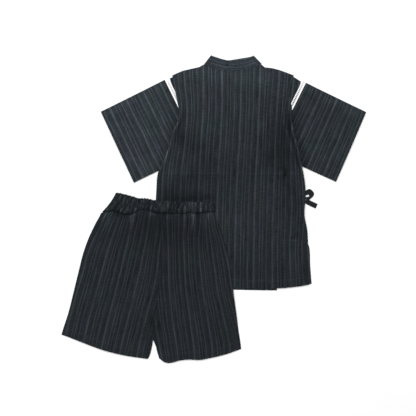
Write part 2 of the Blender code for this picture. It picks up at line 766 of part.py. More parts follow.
def make_leg(side, face, material, parent):
    """One leg's back, turned under at its outer side and gathered at the waist, or its plain front below."""
    left, back = side == "left", face == "back"
    outer = shorts_left if left else shorts_right
    inner = straight(SHORTS_MIDDLE, "down", side)
    hem_rows = LEFT_HEM if left else RIGHT_HEM
    hem = smooth(hem_rows, "across", "down")
    hem_side = hem_rows[0] if left else hem_rows[-1]
    hem_middle = hem_rows[-1] if left else hem_rows[0]
    seam = leg_seam_points(side, 1 if back else 2)
    levels = leg_levels(side)
    inward = 1 if left else -1
    last = len(seam) - 1
    inset = RIM if back else FRONT_INSET
    main = [("main", i) for i in range(1 if back else 0, last + 1)]
    edge = [("edge", None)] + [("edge", p) for p in turned_over()]
    stations = edge + main if back else main
    if not left:
        stations.reverse()

    def point(column, row):
        kind, where = stations[column]
        v = (levels[row] - levels[0]) / (levels[-1] - levels[0])
        edge_down = mix(seam[0].down + SEAM, hem_side.down, v)
        if kind == "edge":
            inset_here, drop = where or (RIM + SIDE_TUCK, AIR)
            side_at = outer(edge_down)
            across = side_at + inward * inset_here
            down = edge_down if row else waist_seam(across) + 2 * SEAM
            return across, down, shorts_height(side_at, edge_down) + LAYER - drop
        w = where / last
        start = seam[where]
        down = mix(start.down + SEAM, hem(mix(hem_side.across, hem_middle.across, w)), v)
        across = mix(outer(edge_down) + inward * inset, inner(levels[row]) - inward * SEAM / 2, w)
        if row == 0:
            across = start.across - inward * SEAM / 2 * (where == last)
        if row == 0 and where == 0:
            along = inset / abs(seam[1].across - seam[0].across)
            across = mix(seam[0].across, seam[1].across, along)
            down = mix(seam[0].down, seam[1].down, along) + SEAM
        if back:
            lift = LAYER + gathers(across, down, start.down, w)
            return across, down, shorts_height(across, down) + lift
        return across, down, shorts_height(across, down)

    return cloth(f"shorts_{face}_{side}", len(stations), len(levels), point, material, parent)


def make_waistband(material, parent):
    """The elastic waistband: one ring pressed flat, with ruffles above and its seam under the middle."""
    turn = turned_over(BAND_WALL)
    span = WAIST_SEAM[-1].across - WAIST_SEAM[0].across
    widths = spread(0.0, 1.0, BAND_ROWS)

    def seam_line(every):
        """The seam's points from left to right, with the places, from 0 to 1, they have along the band."""
        points = leg_seam_points("left", every) + list(reversed(leg_seam_points("right", every)))[1:]
        return [((p.across - points[0].across) / span, p) for p in points]

    def finer(places):
        """The places with one more halfway between each two, for the ruffles."""
        return sorted(places + [(a + b) / 2 for a, b in zip(places, places[1:])])

    upper_seam, lower_seam = seam_line(1), seam_line(2)
    below = [place for place, _ in lower_seam]
    above = finer([place for place, _ in upper_seam])
    middle = below[len(below) // 2]
    stations = [("lower", w) for w in below if w > middle + 0.001][:-1]
    stations.insert(0, ("lower", middle + 0.002))
    stations += [("right", p) for p in turn] + [("upper", w) for w in reversed(above[2:-2])]
    stations += [("left", p) for p in reversed(turn)]
    stations += [("lower", w) for w in below[1:] if w < middle - 0.001]
    stations.append(("lower", middle - 0.002))

    def on_seam(w, line):
        for (w0, a), (w1, b) in zip(line, line[1:]):
            if w <= w1:
                t = (w - w0) / (w1 - w0)
                return Line(mix(a.across, b.across, t), mix(a.down, b.down, t))
        return line[-1][1]

    def ruffle(w):
        """Height of the ruffles, which crowd and part along the elastic."""
        phase = w * RUFFLES + 0.45 * math.sin(w * 17.0) + 0.3 * math.sin(w * 41.0)
        return RUFFLE_HEIGHT * (0.5 + 0.5 * math.cos(2 * math.pi * phase)) * (0.7 + 0.3 * math.sin(w * 29.0))

    def point(column, row):
        kind, where = stations[column]
        drop, w = 0.0, where
        if kind in ("left", "right"):
            inset, drop = where
            w = inset / span if kind == "left" else 1 - inset / span
        top_across = mix(WAIST_TOP[0].across, WAIST_TOP[-1].across, w)
        seam = on_seam(w, lower_seam if kind == "lower" else upper_seam)
        top = Line(top_across, waist_top(top_across))
        t = widths[row]
        across = mix(top.across, seam.across, t) + BAND_DENT * 4 * t * (1 - t) * max(1 - w * 6, 0.0)
        down = mix(top.down, seam.down - SEAM, t)
        rest = shorts_height(across, down) + BAND_WALL
        if kind == "lower":
            return across, down, rest
        height = rest + AIR - drop
        if kind == "upper":
            height += ruffle(w) * RUFFLE_SHARES[row] * min(w * 12, (1 - w) * 12, 1.0)
        return across, down, height

    return cloth("waistband", len(stations), len(widths), point, material, parent, BAND_WALL, flipped=True)


def make_material(name, colour, roughness):
    material = bpy.data.materials.new(name)
    material.use_nodes = True
    shader = material.node_tree.nodes["Principled BSDF"]
    shader.inputs["Base Color"].default_value = (*colour, 1.0)
    shader.inputs["Roughness"].default_value = roughness
    shader.inputs["Metallic"].default_value = 0.0
    return material


def make_lie(name, x, y, turn, collection):
    """The empty that carries a garment where it lies in the set."""
    lie = bpy.data.objects.new(name, None)
    lie.location = (x * MM, y * MM, 0.0)
    lie.rotation_euler = (0.0, 0.0, math.radians(turn))
    collection.objects.link(lie)
    return lie


def main():
    for old in list(bpy.data.objects):
        bpy.data.objects.remove(old)
    collection = bpy.data.collections.new("jinbei_set")
    bpy.context.scene.collection.children.link(collection)
    striped = make_material("striped cotton", (0.028, 0.034, 0.039), 0.9)
    dark = make_material("dark cotton tape", (0.018, 0.021, 0.024), 0.9)
    white = make_material("white lace", (0.9, 0.9, 0.88), 0.8)

    top = make_lie("top_lie", TOP_X, TOP_Y, TOP_TURN, collection)
    make_back(striped, top)
    for side in ("left", "right"):
        make_front(side, striped, top)
    make_collar(striped, top)
    for sleeve in SLEEVES:
        make_sleeve(sleeve, striped, top)
        make_lace(sleeve, white, top)
    make_bow(dark, top)

    shorts = make_lie("shorts_lie", SHORTS_X, SHORTS_Y, SHORTS_TURN, collection)
    for side in ("left", "right"):
        make_leg(side, "back", striped, shorts)
        make_leg(side, "front", striped, shorts)
    make_waistband(striped, shorts)


main()
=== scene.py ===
"""A child's jinbei set in slub-striped cotton, laid flat: the top face down, the shorts across its corner.

Lengths in the tables are millimetres. Each garment has its own flat frame: across runs to the right, and
down runs from the neck or the waist towards the hem. A piece of cloth is a grid of points on the inner face
of the solid that it stands for, with the creases added, and Solidify gives it its wall.
"""

import math
from collections import namedtuple

import bmesh
import bpy
import numpy as np
from bpy.props import FloatProperty, FloatVectorProperty, PointerProperty
from bpy.types import Operator, Panel, PropertyGroup
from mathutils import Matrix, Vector


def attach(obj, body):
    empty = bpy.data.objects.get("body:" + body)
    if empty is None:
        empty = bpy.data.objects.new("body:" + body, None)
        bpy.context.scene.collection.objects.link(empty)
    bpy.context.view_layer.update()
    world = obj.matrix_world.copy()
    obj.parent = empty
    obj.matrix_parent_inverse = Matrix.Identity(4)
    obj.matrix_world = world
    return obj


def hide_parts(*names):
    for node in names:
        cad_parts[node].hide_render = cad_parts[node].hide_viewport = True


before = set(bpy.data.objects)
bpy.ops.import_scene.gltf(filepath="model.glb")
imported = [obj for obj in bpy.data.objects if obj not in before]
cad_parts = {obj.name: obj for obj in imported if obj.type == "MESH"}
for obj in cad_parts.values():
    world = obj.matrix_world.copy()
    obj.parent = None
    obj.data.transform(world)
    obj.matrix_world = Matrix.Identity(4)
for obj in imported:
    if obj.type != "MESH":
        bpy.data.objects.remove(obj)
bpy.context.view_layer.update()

bl_info = {
    "name": "Jinbei set, laid flat",
    "version": (1, 0, 0),
    "blender": (4, 5, 0),
    "location": "3D View > Sidebar > Jinbei",
    "description": "Builds a striped jinbei top and shorts, lying flat, with their stage",
    "category": "Object",
}

MM = 0.001

# Cloth and how it lies
CLOTH = 1.1
AIR = 0.5
LAYER = CLOTH + AIR
SEAM = 0.3
BEND = AIR / 2
RIM = CLOTH + BEND
LEDGE = 20.0
DRAPE = 55.0
FINE, COARSE = 2.0, 5.0

# Where each garment lies: the place of its frame in the set, and its turn
TOP_LIE = (40.46, 290.86, 0.0)
SHORTS_LIE = (-101.94, 22.96, -5.7)

# The top
SIDE_TUCK = 4.5
ARM_TUCK = 24.0
FRONT_INSET = RIM + SIDE_TUCK + 1.5
NECK_HALF = 59.0
NECK_DROP = 14.4
NECK_CORNER = -13.4
FOLD_OUT = 1.4
LACE_WIDTH = 8.8
LACE_WALL = 1.0
LADDER = 5.5
HOLE_ROW = 3
SLEEVE_STACK = 3 * LAYER + 0.3
SLEEVE_RUN_OUT = 34.0
VENT_START, VENT_OPEN = 265.0, 315.0
SLEEVE_PUFF = 2.4
HEM_DEPTH = 15.5
PRESS_LINE = 219.5
COLLAR_WIDTH, COLLAR_CREASE = 22.0, 10.7
SLEEVE_LENGTH = 151.0

# The side bow
KNOT_ACROSS, KNOT_DOWN = 146.0, 268.0
KNOT_LONG, KNOT_WIDE, KNOT_HIGH = 13.0, 12.0, 4.6
BOW_LIFT = 5.2
BOW_REACH, BOW_DRAPE = 30.0, 45.0
TIE_WIDTH = 9.6
TAIL_WIDTH = TIE_WIDTH + 0.8
TIE_WALL = 1.6

# The shorts
BAND_WALL = 2.4
BAND_DENT = 2.8
RUFFLES = 24
RUFFLE_HEIGHT = 2.4
RUFFLE_SHARES = [0.6, 1.0, 0.9, 0.3]
LEG_PUFF = 1.6
SHORTS_REST = 3 * LAYER
SHORTS_DRAPE = 90.0
CROTCH = 298.0

Edge = namedtuple("Edge", "down left right")
Line = namedtuple("Line", "across down")
Band = namedtuple("Band", "seam_across seam_down free_across free_down")
Sleeve = namedtuple("Sleeve", "side root_top root_bottom cuff_top cuff_bottom")
Crease = namedtuple("Crease", "across down to_across to_down width height bow")
Gather = namedtuple("Gather", "across lean width length height")
Lines = namedtuple("Lines", "down places")
Stripe = namedtuple("Stripe", "place width strength")
Patch = namedtuple("Patch", "across down wide long tone")
Grid = namedtuple("Grid", "across down height weft warp tone")


def rows(kind, *values):
    """A table: one row of a kind for each tuple of numbers."""
    return [kind(*map(float, row)) for row in values]


def stripe_lines(*values):
    """A table of stripes: the level, then the places across of each main stripe at that level."""
    return [Lines(float(row[0]), tuple(map(float, row[1:]))) for row in values]


# Side edges of the back: shoulder tip, armhole fold, armpit, waist, vent and hem
BACK_SIDES = rows(
    Edge,
    (10.7, -127.6, 127.3), (41, -122, 119.7), (60, -118.2, 120.2), (87, -113.2, 124.2),
    (104, -114.8, 123.2), (127, -126, 127), (162, -135.5, 136.4), (192, -147, 142.2), (217, -157.9, 147.8),
    (243, -160.5, 151.4), (268, -162.1, 152), (302, -163.5, 149.5), (336, -165.7, 156), (362, -168, 157.5),
    (450, -171, 160.9),
)

# Upper edge of the back between the shoulder tips, apart from the neckline
SHOULDERS = rows(
    Line,
    (-125.6, 10.2), (-104.2, 0.7), (-85.3, -3.8), (-69.5, -7.2), (-NECK_HALF, NECK_CORNER),
    (NECK_HALF, NECK_CORNER), (65.5, -6.8), (82, -5), (98.3, -0.8), (107.1, 2.5), (127.3, 10.1),
)

BACK_HEM = rows(
    Line,
    (-171, 451), (-100, 455.5), (0, 456), (44.5, 457.8), (99.8, 457.2), (120.8, 455.5), (141.8, 453),
    (160.9, 449.6),
)

# Side edges of the fronts: the strip that shows beside the lace, the inset under the back, the vent
FRONT_SIDES = rows(
    Edge,
    (16.4, -133, 142.5), (24, -130.4, 142.5), (41, -124, 136.5), (56, -117, 129),
    (87, -111.7 + FRONT_INSET, 119.7 - FRONT_INSET), (104, -114.8 + FRONT_INSET, 120.8 - FRONT_INSET),
    *((e.down, e.left + FRONT_INSET, e.right - FRONT_INSET) for e in BACK_SIDES[5:13]),
    (350, -166.9 + FRONT_INSET, 156.8 - FRONT_INSET), (370, -171.2, 160), (410, -173.2, 162.4),
    (448, -175.5, 165.3),
)
OUTER_SHOULDER = rows(Line, (-133, 16.4), (-104, 2.4), (-69.5, -5), (-NECK_HALF, NECK_CORNER))
INNER_SHOULDER = rows(
    Line,
    (NECK_HALF, NECK_CORNER), (69.5, -4.5), (104, 3.4), (130, 14.4), (142.5, 22.8),
)
OUTER_HEM = rows(Line, (-175.5, 452), (-100, 457), (1, 460.5), (70.4, 462))
INNER_HEM = rows(Line, (-70.4, 453.5), (60, 454), (120, 452.5), (165.7, 448.4))

# The collar band along a front, from the hem up to the fold beside the neck
FRONT_BAND = rows(
    Band,
    (70.4, 462, 92.4, 462), (70.4, 440, 92.4, 440), (70.4, 418, 92.4, 418), (70.4, 396, 92.4, 396),
    (70.4, 374, 92.4, 373.5), (70.4, 352, 92.4, 351), (70.4, 330, 92.4, 328), (69.8, 305, 91.7, 301),
    (68.5, 280, 90.3, 275), (66.2, 256, 87.8, 250), (63, 232, 84.3, 225), (58.2, 208, 79.3, 200),
    (52, 185, 72.5, 176), (45.4, 162, 65.5, 152), (37.5, 140, 57, 129), (28.4, 117.5, 47.4, 105.8),
    (18, 96, 36.5, 83.5), (6.8, 75.5, 24.5, 62.3), (-6, 56, 11, 42), (-18.6, 37.6, -2.6, 22.7),
    (-32, 20, -17, 4), (-46, 3.2, -31.6, -13.3),
)

# Outer edge of the collar behind the neck, between its two folds
NECK_TOP = rows(
    Line,
    (-46.4, -31.8), (-35.7, -28.4), (-23.1, -24.3), (-10.5, -21.5), (4.2, -23.4), (21, -26.3),
    (35.7, -28.9), (43.4, -31.4),
)

SLEEVES = [
    Sleeve("left", Line(-143.8, 19.4), Line(-70.8, 168.6), Line(-277.9, 86.2), Line(-208.2, 235.5)),
    Sleeve("right", Line(153.4, 25.6), Line(80.6, 172.2), Line(279.8, 87.0), Line(216.4, 233.6)),
]

# The broadest folds that stand up in the back, under the finer creases
BACK_RIDGES = rows(
    Crease,
    (-128, 150, -98, 214, 12, 1.6, 0), (114, 112, 124, 188, 10, 1.8, 0), (92, 48, 100, 150, 15, 1.4, 0),
    (-62, 42, -54, 140, 18, 1.1, 0), (-110, 221, 118, 221, 10, 0.8, 0), (96, 214, 132, 238, 9, 1.5, 0),
)

# Creases of the back: its press line, the pulls from the armholes, and the dents by the shoulder blades
BACK_CREASES = rows(
    Crease,
    (-152, 219, 20, 219.5, 1.6, 0.45, 0.6), (8, 219.5, 106, 218, 1.5, 0.35, -0.5),
    (-112, 112, -106, 146, 3.2, 1.6, -2), (-106, 120, -100, 152, 3.6, -0.5, 1.5),
    (-124, 140, -62, 128, 7, 1.2, 4), (-104, 142, -52, 118, 5, 1, -3), (-96, 96, -60, 132, 8, 0.9, 3),
    (113, 84, 112, 126, 2.8, 2.4, 2), (106, 88, 105, 124, 3.4, -0.5, 1.5),
    (112, 150, 116, 190, 3, 1.9, -1.5), (104, 146, 108, 196, 4, -0.5, -2), (74, 60, 84, 176, 9, -0.4, 4),
    (98, 196, 112, 222, 4, 1.3, 2), (112, 214, 130, 232, 3.4, 1.2, -1.5),
    (114, 352, 138, 346, 3.2, 0.9, 1.5), (118, 366, 136, 358, 3, 0.7, -1), (132, 284, 146, 330, 5, 0.8, 2),
    (-30, 26, -34, 112, 12, 0.6, 4), (34, 40, 28, 150, 14, 0.5, -5), (0, 236, 6, 390, 16, 0.4, 4),
    (66, 260, 60, 420, 13, 0.5, -4), (-146, 230, -140, 258, 6, 0.8, 1), (-64, 6, -88, 60, 9, 0.8, 3),
    (70, 6, 92, 44, 8, 0.8, -3),
)

# Creases of the sleeves and legs, in each one's own frame
LEFT_SLEEVE_CREASES = rows(
    Crease,
    (8, 52, 60, 84, 8, 1.1, 4), (4, 96, 44, 128, 7, 1, -3), (30, 20, 96, 12, 9, 0.7, 2),
    (90, 60, 140, 110, 14, 0.7, 5), (70, 130, 132, 148, 10, 0.7, -3),
)
RIGHT_SLEEVE_CREASES = rows(
    Crease,
    (6, 60, 48, 96, 8, 1, -4), (2, 108, 50, 140, 7, 1.1, 3), (34, 18, 104, 16, 9, 0.7, -2),
    (84, 48, 128, 104, 13, 0.8, -5), (96, 126, 136, 152, 9, 0.6, 2),
)
LEG_CREASES = rows(
    Crease,
    (-20, 226, -58, 292, 5, 1, 3), (-14, 262, -36, 306, 4, 0.9, -2), (8, 262, 34, 330, 5, 1, -3),
    (12, 244, 66, 300, 8, 0.7, 4), (-120, 120, -96, 210, 13, 0.8, 5), (-60, 150, -72, 260, 14, 0.7, -5),
    (70, 130, 96, 250, 14, 0.7, 6), (128, 160, 150, 260, 10, 0.8, -4), (-150, 200, -128, 290, 12, 0.6, 3),
    (-112, 56, -96, 96, 5, 0.9, -2), (30, 84, 44, 160, 9, 0.7, 3),
)

# The bow: round its loop from the knot and back (outer edge, then the edge of its hole), its tails and ties
BOW_LOOP = rows(
    Band,
    (143.5, 258.6, 150.2, 262.4), (151, 253.4, 154.2, 261.2), (160.2, 248.8, 157.6, 260.6),
    (166.4, 252.4, 159.6, 261.2), (170.4, 258.8, 160.6, 263), (167.2, 265, 159.4, 265.2),
    (162, 269.6, 156.6, 266), (155.6, 274, 150.8, 265.6),
)
BOW_LOOP_HEIGHTS = [2.4, 2.2, 1.4, 1.0, 0.8, 1.2, 1.8, 2.4]
BOW_TAIL = rows(Line, (152.9, 273), (160, 277.6), (168, 281.4), (175.6, 285))
HIDDEN_TAIL = rows(Line, (138.6, 263.2), (133.1, 256.7), (128.4, 248.8))
HIDDEN_LOOP = rows(Line, (143.9, 275.4), (141, 284.8), (136.8, 293.8))
FRONT_TIE = rows(Line, (92.6, 267), (108, 268.4), (124, 269.9), (138.9, 271.3))
SIDE_TIE = rows(Line, (147.2, 246), (147.2, 254), (147.2, 261.6))

# Sides of the shorts, from the waist seam to the hem
SHORTS_SIDES = rows(
    Edge,
    (0, -104, 104), (20, -112, 108), (39, -126.6, 114.8), (57, -136, 123.3), (74, -143.1, 131),
    (101, -152.5, 142.6), (133, -160.4, 150.3), (165, -165.2, 158.5), (195, -169.4, 165.1),
    (228, -174, 173.1), (261, -179, 180.8), (294, -186.2, 189.1), (309, -189.1, 191.5),
)

# Inner edges of the legs: one centre seam as far as the crotch, then the two inside legs
SHORTS_MIDDLE = rows(
    Edge,
    (30, -11, -11), (70, -2, -2), (110, 2, 2), (180, 4, 4), (240, 4, 4), (298, 4, 4.2), (312, 3.2, 11.7),
    (321, 2.1, 14.6), (330, 0.9, 18.4), (339, -2.9, 22.4),
)
LEFT_HEM = rows(
    Line,
    (-189.1, 307.4), (-167.1, 312.9), (-122.4, 325), (-97.4, 331), (-67.1, 335.8), (-40.5, 338.3),
    (-2.8, 339.8),
)
RIGHT_HEM = rows(
    Line,
    (22.4, 336.3), (34, 343.2), (46.5, 343.3), (66.8, 335.9), (86.6, 332.3), (107.5, 330.9), (128, 325),
    (158.6, 314.6), (190.4, 300.4),
)
WAIST_TOP = rows(
    Line,
    (-103.9, 0), (-98, -0.9), (-82, 1.2), (-69, 3.4), (-56, 5.8), (-34, 5.4), (-20, 7), (6, 5.8), (27, 4.4),
    (64, 2.5), (84, 1.2), (104.4, 2),
)
WAIST_SEAM = rows(
    Line,
    (-129.4, 44), (-114, 39.6), (-103, 38), (-91, 40.6), (-76, 41), (-66, 39.8), (-60, 35), (-54, 30.6),
    (-40, 28.8), (-31, 28.2), (-25, 30.8), (-11, 31), (6.3, 30.6), (17, 31.6), (25.5, 28.4), (34, 29.6),
    (42.5, 28.4), (54.4, 23), (61, 24.6), (76.8, 23.1), (91.1, 20.4), (107.6, 17.4),
)

# Gathers that run down from the waist seam: where each starts, how far it leans, and its size
GATHERS = rows(
    Gather,
    (-104, -14, 7, 60, 2), (-84, -8, 6, 42, 1.6), (-61, -6, 5, 48, 2.6), (-43, -5, 6, 34, 1.4),
    (-24, -2, 5, 40, 1.8), (-8, -1, 5, 30, 1.3), (12, 0, 5, 52, 1.7), (30, 4, 6, 38, 1.9),
    (46, 5, 5, 44, 1.5), (62, 8, 5, 56, 2.6), (80, 12, 6, 46, 1.6), (95, 24, 6, 70, 2.2),
)

# Finer gathers between them, seen only near the seam, and the hollows that the band leaves under itself
FINE_GATHERS = rows(
    Gather,
    (-118, -16, 2.4, 34, 1.4), (-110, -16, 2, 26, 1), (-95, -12, 2.2, 30, 1.2), (-88, -10, 1.8, 22, 0.9),
    (-74, -7, 2.2, 34, 1.5), (-66, -5, 1.3, 30, 2.6), (-52, -5, 2, 26, 1.2), (-34, -3, 2, 34, 1.4),
    (-28, -3, 1.8, 24, 1), (-16, -1, 1.8, 30, 1.3), (2, 1, 2, 34, 1.6), (8, 1, 1.8, 22, 1),
    (21, 2, 2, 30, 1.4), (27, 2, 1.7, 20, 1), (42, 5, 1.8, 34, 1.3), (52, 6, 1.8, 30, 1.4),
    (63, 5, 1.3, 36, 2.8), (72, 9, 1.8, 30, 1.3), (83, 14, 1.8, 46, 1.4), (91, 20, 2, 60, 2),
    (99, 28, 2, 66, 1.5),
)
HOLLOWS = rows(
    Gather,
    (-100, -3, 4, 18, -1.3), (-92, -3, 3, 16, -1.1), (-80, -3, 2.6, 16, -0.9), (-58, -2, 2.4, 18, -1),
    (-39, -2, 3, 18, -1.2), (-12, 0, 4, 20, -1.3), (-2, 0, 2.4, 18, -1), (36, 2, 2.4, 22, -1.3),
    (57, 3, 2.6, 22, -1.4), (69, 3, 2.2, 20, -1.2), (77, 4, 3, 22, -1.2),
)

# Patches of painted shade and painted light on the cloth: shade in dents, folds, hollows and under the
# waistband, highlights on fold edges, gathers and the upper back
BACK_SHADING_PATCHES = rows(
    Patch,
    (-108, 118, 10, 28, -0.2), (-112, 142, 26, 22, -0.2), (-76, 162, 26, 10, -0.16),
    (-90, 150, 30, 30, -0.14), (108, 118, 20, 40, -0.34), (104, 172, 30, 42, -0.36),
    (72, 150, 24, 50, -0.16), (112, 225, 24, 30, -0.2), (120, 270, 24, 36, -0.12),
    (-142, 262, 20, 15, -0.34), (-112, 264, 22, 14, -0.34), (-78, 264, 22, 13, -0.36),
    (-52, 266, 14, 9, -0.3), (-108, 271, 56, 5, -0.26), (-100, 236, 60, 18, -0.14),
    (-70, 215, 80, 40, -0.12), (-10, 205, 80, 60, -0.1), (20, 120, 60, 26, -0.06), (-60, 2, 60, 20, 0.3),
    (70, 8, 40, 20, 0.2), (10, 20, 110, 30, 0.16), (-116, 60, 7, 36, 0.3), (-128, 150, 5, 26, 0.3),
    (-134, 190, 6, 40, 0.2), (40, 330, 90, 60, 0.08), (110, 216, 4, 9, -0.3), (102, 205, 8, 6, -0.2),
    (126, 356.5, 8, 1.6, 0.55), (125, 350, 4, 4, -0.35), (133, 344, 3, 6, -0.35), (128, 405, 12, 42, 0.16),
)
LEG_SHADING_PATCHES = rows(
    Patch,
    (0, 52, 130, 46, -0.42), (-20, 120, 110, 50, -0.12), (4, 210, 16, 90, -0.16), (6, 290, 18, 34, -0.16),
    (-100, 44, 12, 5, -0.3), (-84, 48, 8, 6, -0.22), (-67, 50, 1.3, 12, 1.1), (-3, 262, 5, 14, -0.4),
    (12, 268, 5, 10, -0.3), (1, 276, 1.8, 2, 0.9), (-1, 288, 1.8, 3, 0.7), (63, 40, 1.5, 14, 1.6),
    (60, 30, 4, 6, 0.6), (90, 40, 2.4, 18, 0.5), (-22, 36, 8, 3, 0.4), (-118, 50, 7, 22, 0.2),
)

# Where the main stripes run down each garment: the level, then their places across at that level
BACK_LINES = stripe_lines(
    (-20, -104, -64, -24, 17, 57, 97, 138),
    (11.5, -103.3, -63.4, -23.7, 16.6, 56.5, 96.6, 136.6),
    (80, -96.9, -62.9, -23.8, 15.3, 54.2, 91.5, 128),
    (150, -101.2, -67.5, -28.1, 12.8, 51.3, 88, 120.5),
    (220, -109.4, -71.6, -31.9, 8.6, 47.2, 86.7, 120.9),
    (300, -111.8, -73.7, -34.2, 5.5, 44.5, 83.3, 122),
    (380, -113.4, -75.2, -35.8, 3.4, 43, 82.1, 119.4),
    (459, -114.4, -76.5, -37, 2.5, 42, 81.7, 121.6),
)
LEFT_LEG_LINES = stripe_lines(
    (0, -84, -56.5, -26.5, -1.5),
    (40, -90.9, -61.5, -28.5, -2),
    (80, -100, -66.7, -30.6, -2),
    (120, -109.6, -72.1, -34.7, -2.2),
    (180, -119.7, -80.7, -41.3, -4),
    (240, -129.9, -89.9, -50.3, -13.5),
    (300, -138.9, -98.8, -59.3, -22.5),
    (340, -141.8, -103.4, -64.6, -26.9),
)
RIGHT_LEG_LINES = stripe_lines(
    (0, 5, 41, 76, 90),
    (40, 8, 44.3, 78.3, 95.5),
    (80, 13.2, 46.6, 78.3, 103.6),
    (120, 18.3, 52, 83.9, 113.4),
    (180, 25.5, 61, 96.5, 127.7),
    (240, 37.6, 74.8, 111.9, 147.5),
    (300, 52.6, 89.3, 127.8, 166.1),
    (340, 61.9, 96.9, 132.5, 168.3),
)

# One repeat of the stripes, across the cloth, from a little before its main stripe
STRIPE_REPEAT = 39.6
CHART_START = -6.0
REPEATS = 400
STRIPES = rows(
    Stripe,
    (-2.6, 1, 0.12), (0.6, 4.2, 0.84), (5.6, 1.7, 0.28), (12.3, 2.6, 0.66), (18.3, 2.2, 0.6),
    (27, 2.7, 0.6), (30.6, 1.4, 0.2),
)


def through(keys, values):
    """Value at any key on a smooth curve through points, level past its ends."""
    keys, values = np.array(keys, float), np.array(values, float)
    last = len(keys) - 1
    before = np.maximum(np.arange(last + 1) - 1, 0)
    after = np.minimum(np.arange(last + 1) + 1, last)
    slopes = (values[after] - values[before]) / (keys[after] - keys[before])

    def at(k):
        k = np.clip(np.asarray(k, float), keys[0], keys[-1])
        i = np.clip(np.searchsorted(keys, k, side="right") - 1, 0, last - 1)
        span = keys[i + 1] - keys[i]
        t = (k - keys[i]) / span
        start = t * (1 - t) ** 2 * slopes[i] * span
        end = t * t * (1 - t) * slopes[i + 1] * span
        return values[i] + (values[i + 1] - values[i]) * t * t * (3 - 2 * t) + start - end

    return at


def curve(rows, key, value):
    """The same through the rows of a table."""
    return through([getattr(row, key) for row in rows], [getattr(row, value) for row in rows])


def straight(rows, key, value):
    """Value at any key on straight lines through the rows of a table, level past its ends."""
    keys, values = [getattr(row, key) for row in rows], [getattr(row, value) for row in rows]
    return lambda k: np.interp(k, keys, values)


def mix(a, b, t):
    return a + (b - a) * t


def ease(t):
    """0 to 1, level at both ends."""
    t = np.clip(t, 0.0, 1.0)
    return t * t * (3 - 2 * t)


def bell(away, width):
    """1 at no distance, falling smoothly to 0 within about two widths."""
    return np.exp(-((away / width) ** 2))


def cover(outside, ledge=LEDGE, drape=DRAPE):
    """1 on what lies below and on a ledge around it, then an even fall to 0 over the drape."""
    return 1 - ease((outside - ledge) / drape)


def spaced(first, last, step):
    """Evenly spaced values, about a step apart, with both ends."""
    count = max(round(abs(last - first) / step), 1)
    return np.linspace(first, last, count + 1)


def levels(length, step=FINE, hem=HEM_DEPTH + 4):
    """Shares of a panel's length from top to hem: closer in the hem, and with a narrow row at each end."""
    body = spaced(step, length - hem, step)
    foot = spaced(length - hem, length - 1.2, min(step, 1.3))[1:]
    return np.concatenate([[0.0, 0.6], body, foot, [length - 0.5, length]]) / length


FOLD_START = Band(-NECK_HALF - FOLD_OUT + RIM, NECK_CORNER - 2 * SEAM, -44.8, -31.8)
BAND_ROWS = [FOLD_START] + list(reversed(FRONT_BAND))
back_left = curve(BACK_SIDES, "down", "left")
back_right = curve(BACK_SIDES, "down", "right")
back_hem = curve(BACK_HEM, "across", "down")
front_left = curve(FRONT_SIDES, "down", "left")
front_right = curve(FRONT_SIDES, "down", "right")
front_seam = curve(BAND_ROWS, "seam_down", "seam_across")
front_free = curve(BAND_ROWS, "free_down", "free_across")
shorts_left = curve(SHORTS_SIDES, "down", "left")
shorts_right = curve(SHORTS_SIDES, "down", "right")
waist_top = curve(WAIST_TOP, "across", "down")
waist_seam = curve(WAIST_SEAM, "across", "down")


def inside_back(across, down):
    """How far points are from the nearer side edge of the back, inwards."""
    return np.minimum(across - back_left(down), back_right(down) - across)


def outside_back(across, down, left):
    """How far points are past one side edge of the back, outwards."""
    return back_left(down) - across if left else across - back_right(down)


def run_along(steps):
    """Length from the start of a line to each of its points."""
    return np.concatenate([[0.0], np.cumsum(steps)])


def root_run(sleeve):
    """Across, down and length of a sleeve's root."""
    across = sleeve.root_bottom.across - sleeve.root_top.across
    down = sleeve.root_bottom.down - sleeve.root_top.down
    return across, down, math.hypot(across, down)


def neckline(across):
    """Level of the back's neckline."""
    return NECK_CORNER + NECK_DROP * (1 - (across / NECK_HALF) ** 2)


def set_place(across, down, lie):
    """Points of a garment's frame in the set's frame."""
    x, y, turn = lie
    angle = math.radians(turn)
    up = -down
    cos, sin = math.cos(angle), math.sin(angle)
    return x + across * cos - up * sin, y + across * sin + up * cos


def beside(across, down, crease):
    """How far points are from a crease's bowed line, and their place along it from 0 to 1."""
    run_across, run_down = crease.to_across - crease.across, crease.to_down - crease.down
    length = math.hypot(run_across, run_down)
    off_across, off_down = across - crease.across, down - crease.down
    along = (off_across * run_across + off_down * run_down) / length**2
    t = np.clip(along, 0.0, 1.0)
    side = (off_across * run_down - off_down * run_across) / length - crease.bow * 4 * t * (1 - t)
    return np.hypot(side, (along - t) * length), t


def creased(across, down, creases, fade=0.35):
    """Height of creases at points: each a soft ridge or trough that fades towards both ends."""
    height = np.zeros(np.broadcast(across, down).shape)
    for c in creases:
        away, t = beside(across, down, c)
        ends = ease(t / fade) * ease((1 - t) / fade) if fade else 1.0
        height += c.height * bell(away, c.width) * ends
    return height


def uneven(across, down, size, seed):
    """A soft unevenness of the cloth, from -1 to 1, with waves about a size long."""
    k = 2 * math.pi / size
    total = 0.0
    for i in range(5):
        a = seed * 1.7 + i * 2.4
        f = k * (0.7 + 0.23 * i)
        total = total + np.sin(f * (across * math.cos(a) + down * math.sin(a)) + seed * 3.1 + i * 1.9)
    return total / 5


def sleeve_reach(across, down, sleeve):
    """How far points of the body are outside a sleeve's root and its lace."""
    run_across, run_down, length = root_run(sleeve)
    off_across, off_down = across - sleeve.root_top.across, down - sleeve.root_top.down
    along = (off_across * run_across + off_down * run_down) / length
    inward = (off_across * run_down - off_down * run_across) / length
    if sleeve.side == "right":
        inward = -inward
    return np.maximum(np.maximum(inward - LACE_WIDTH, along - length), -along)


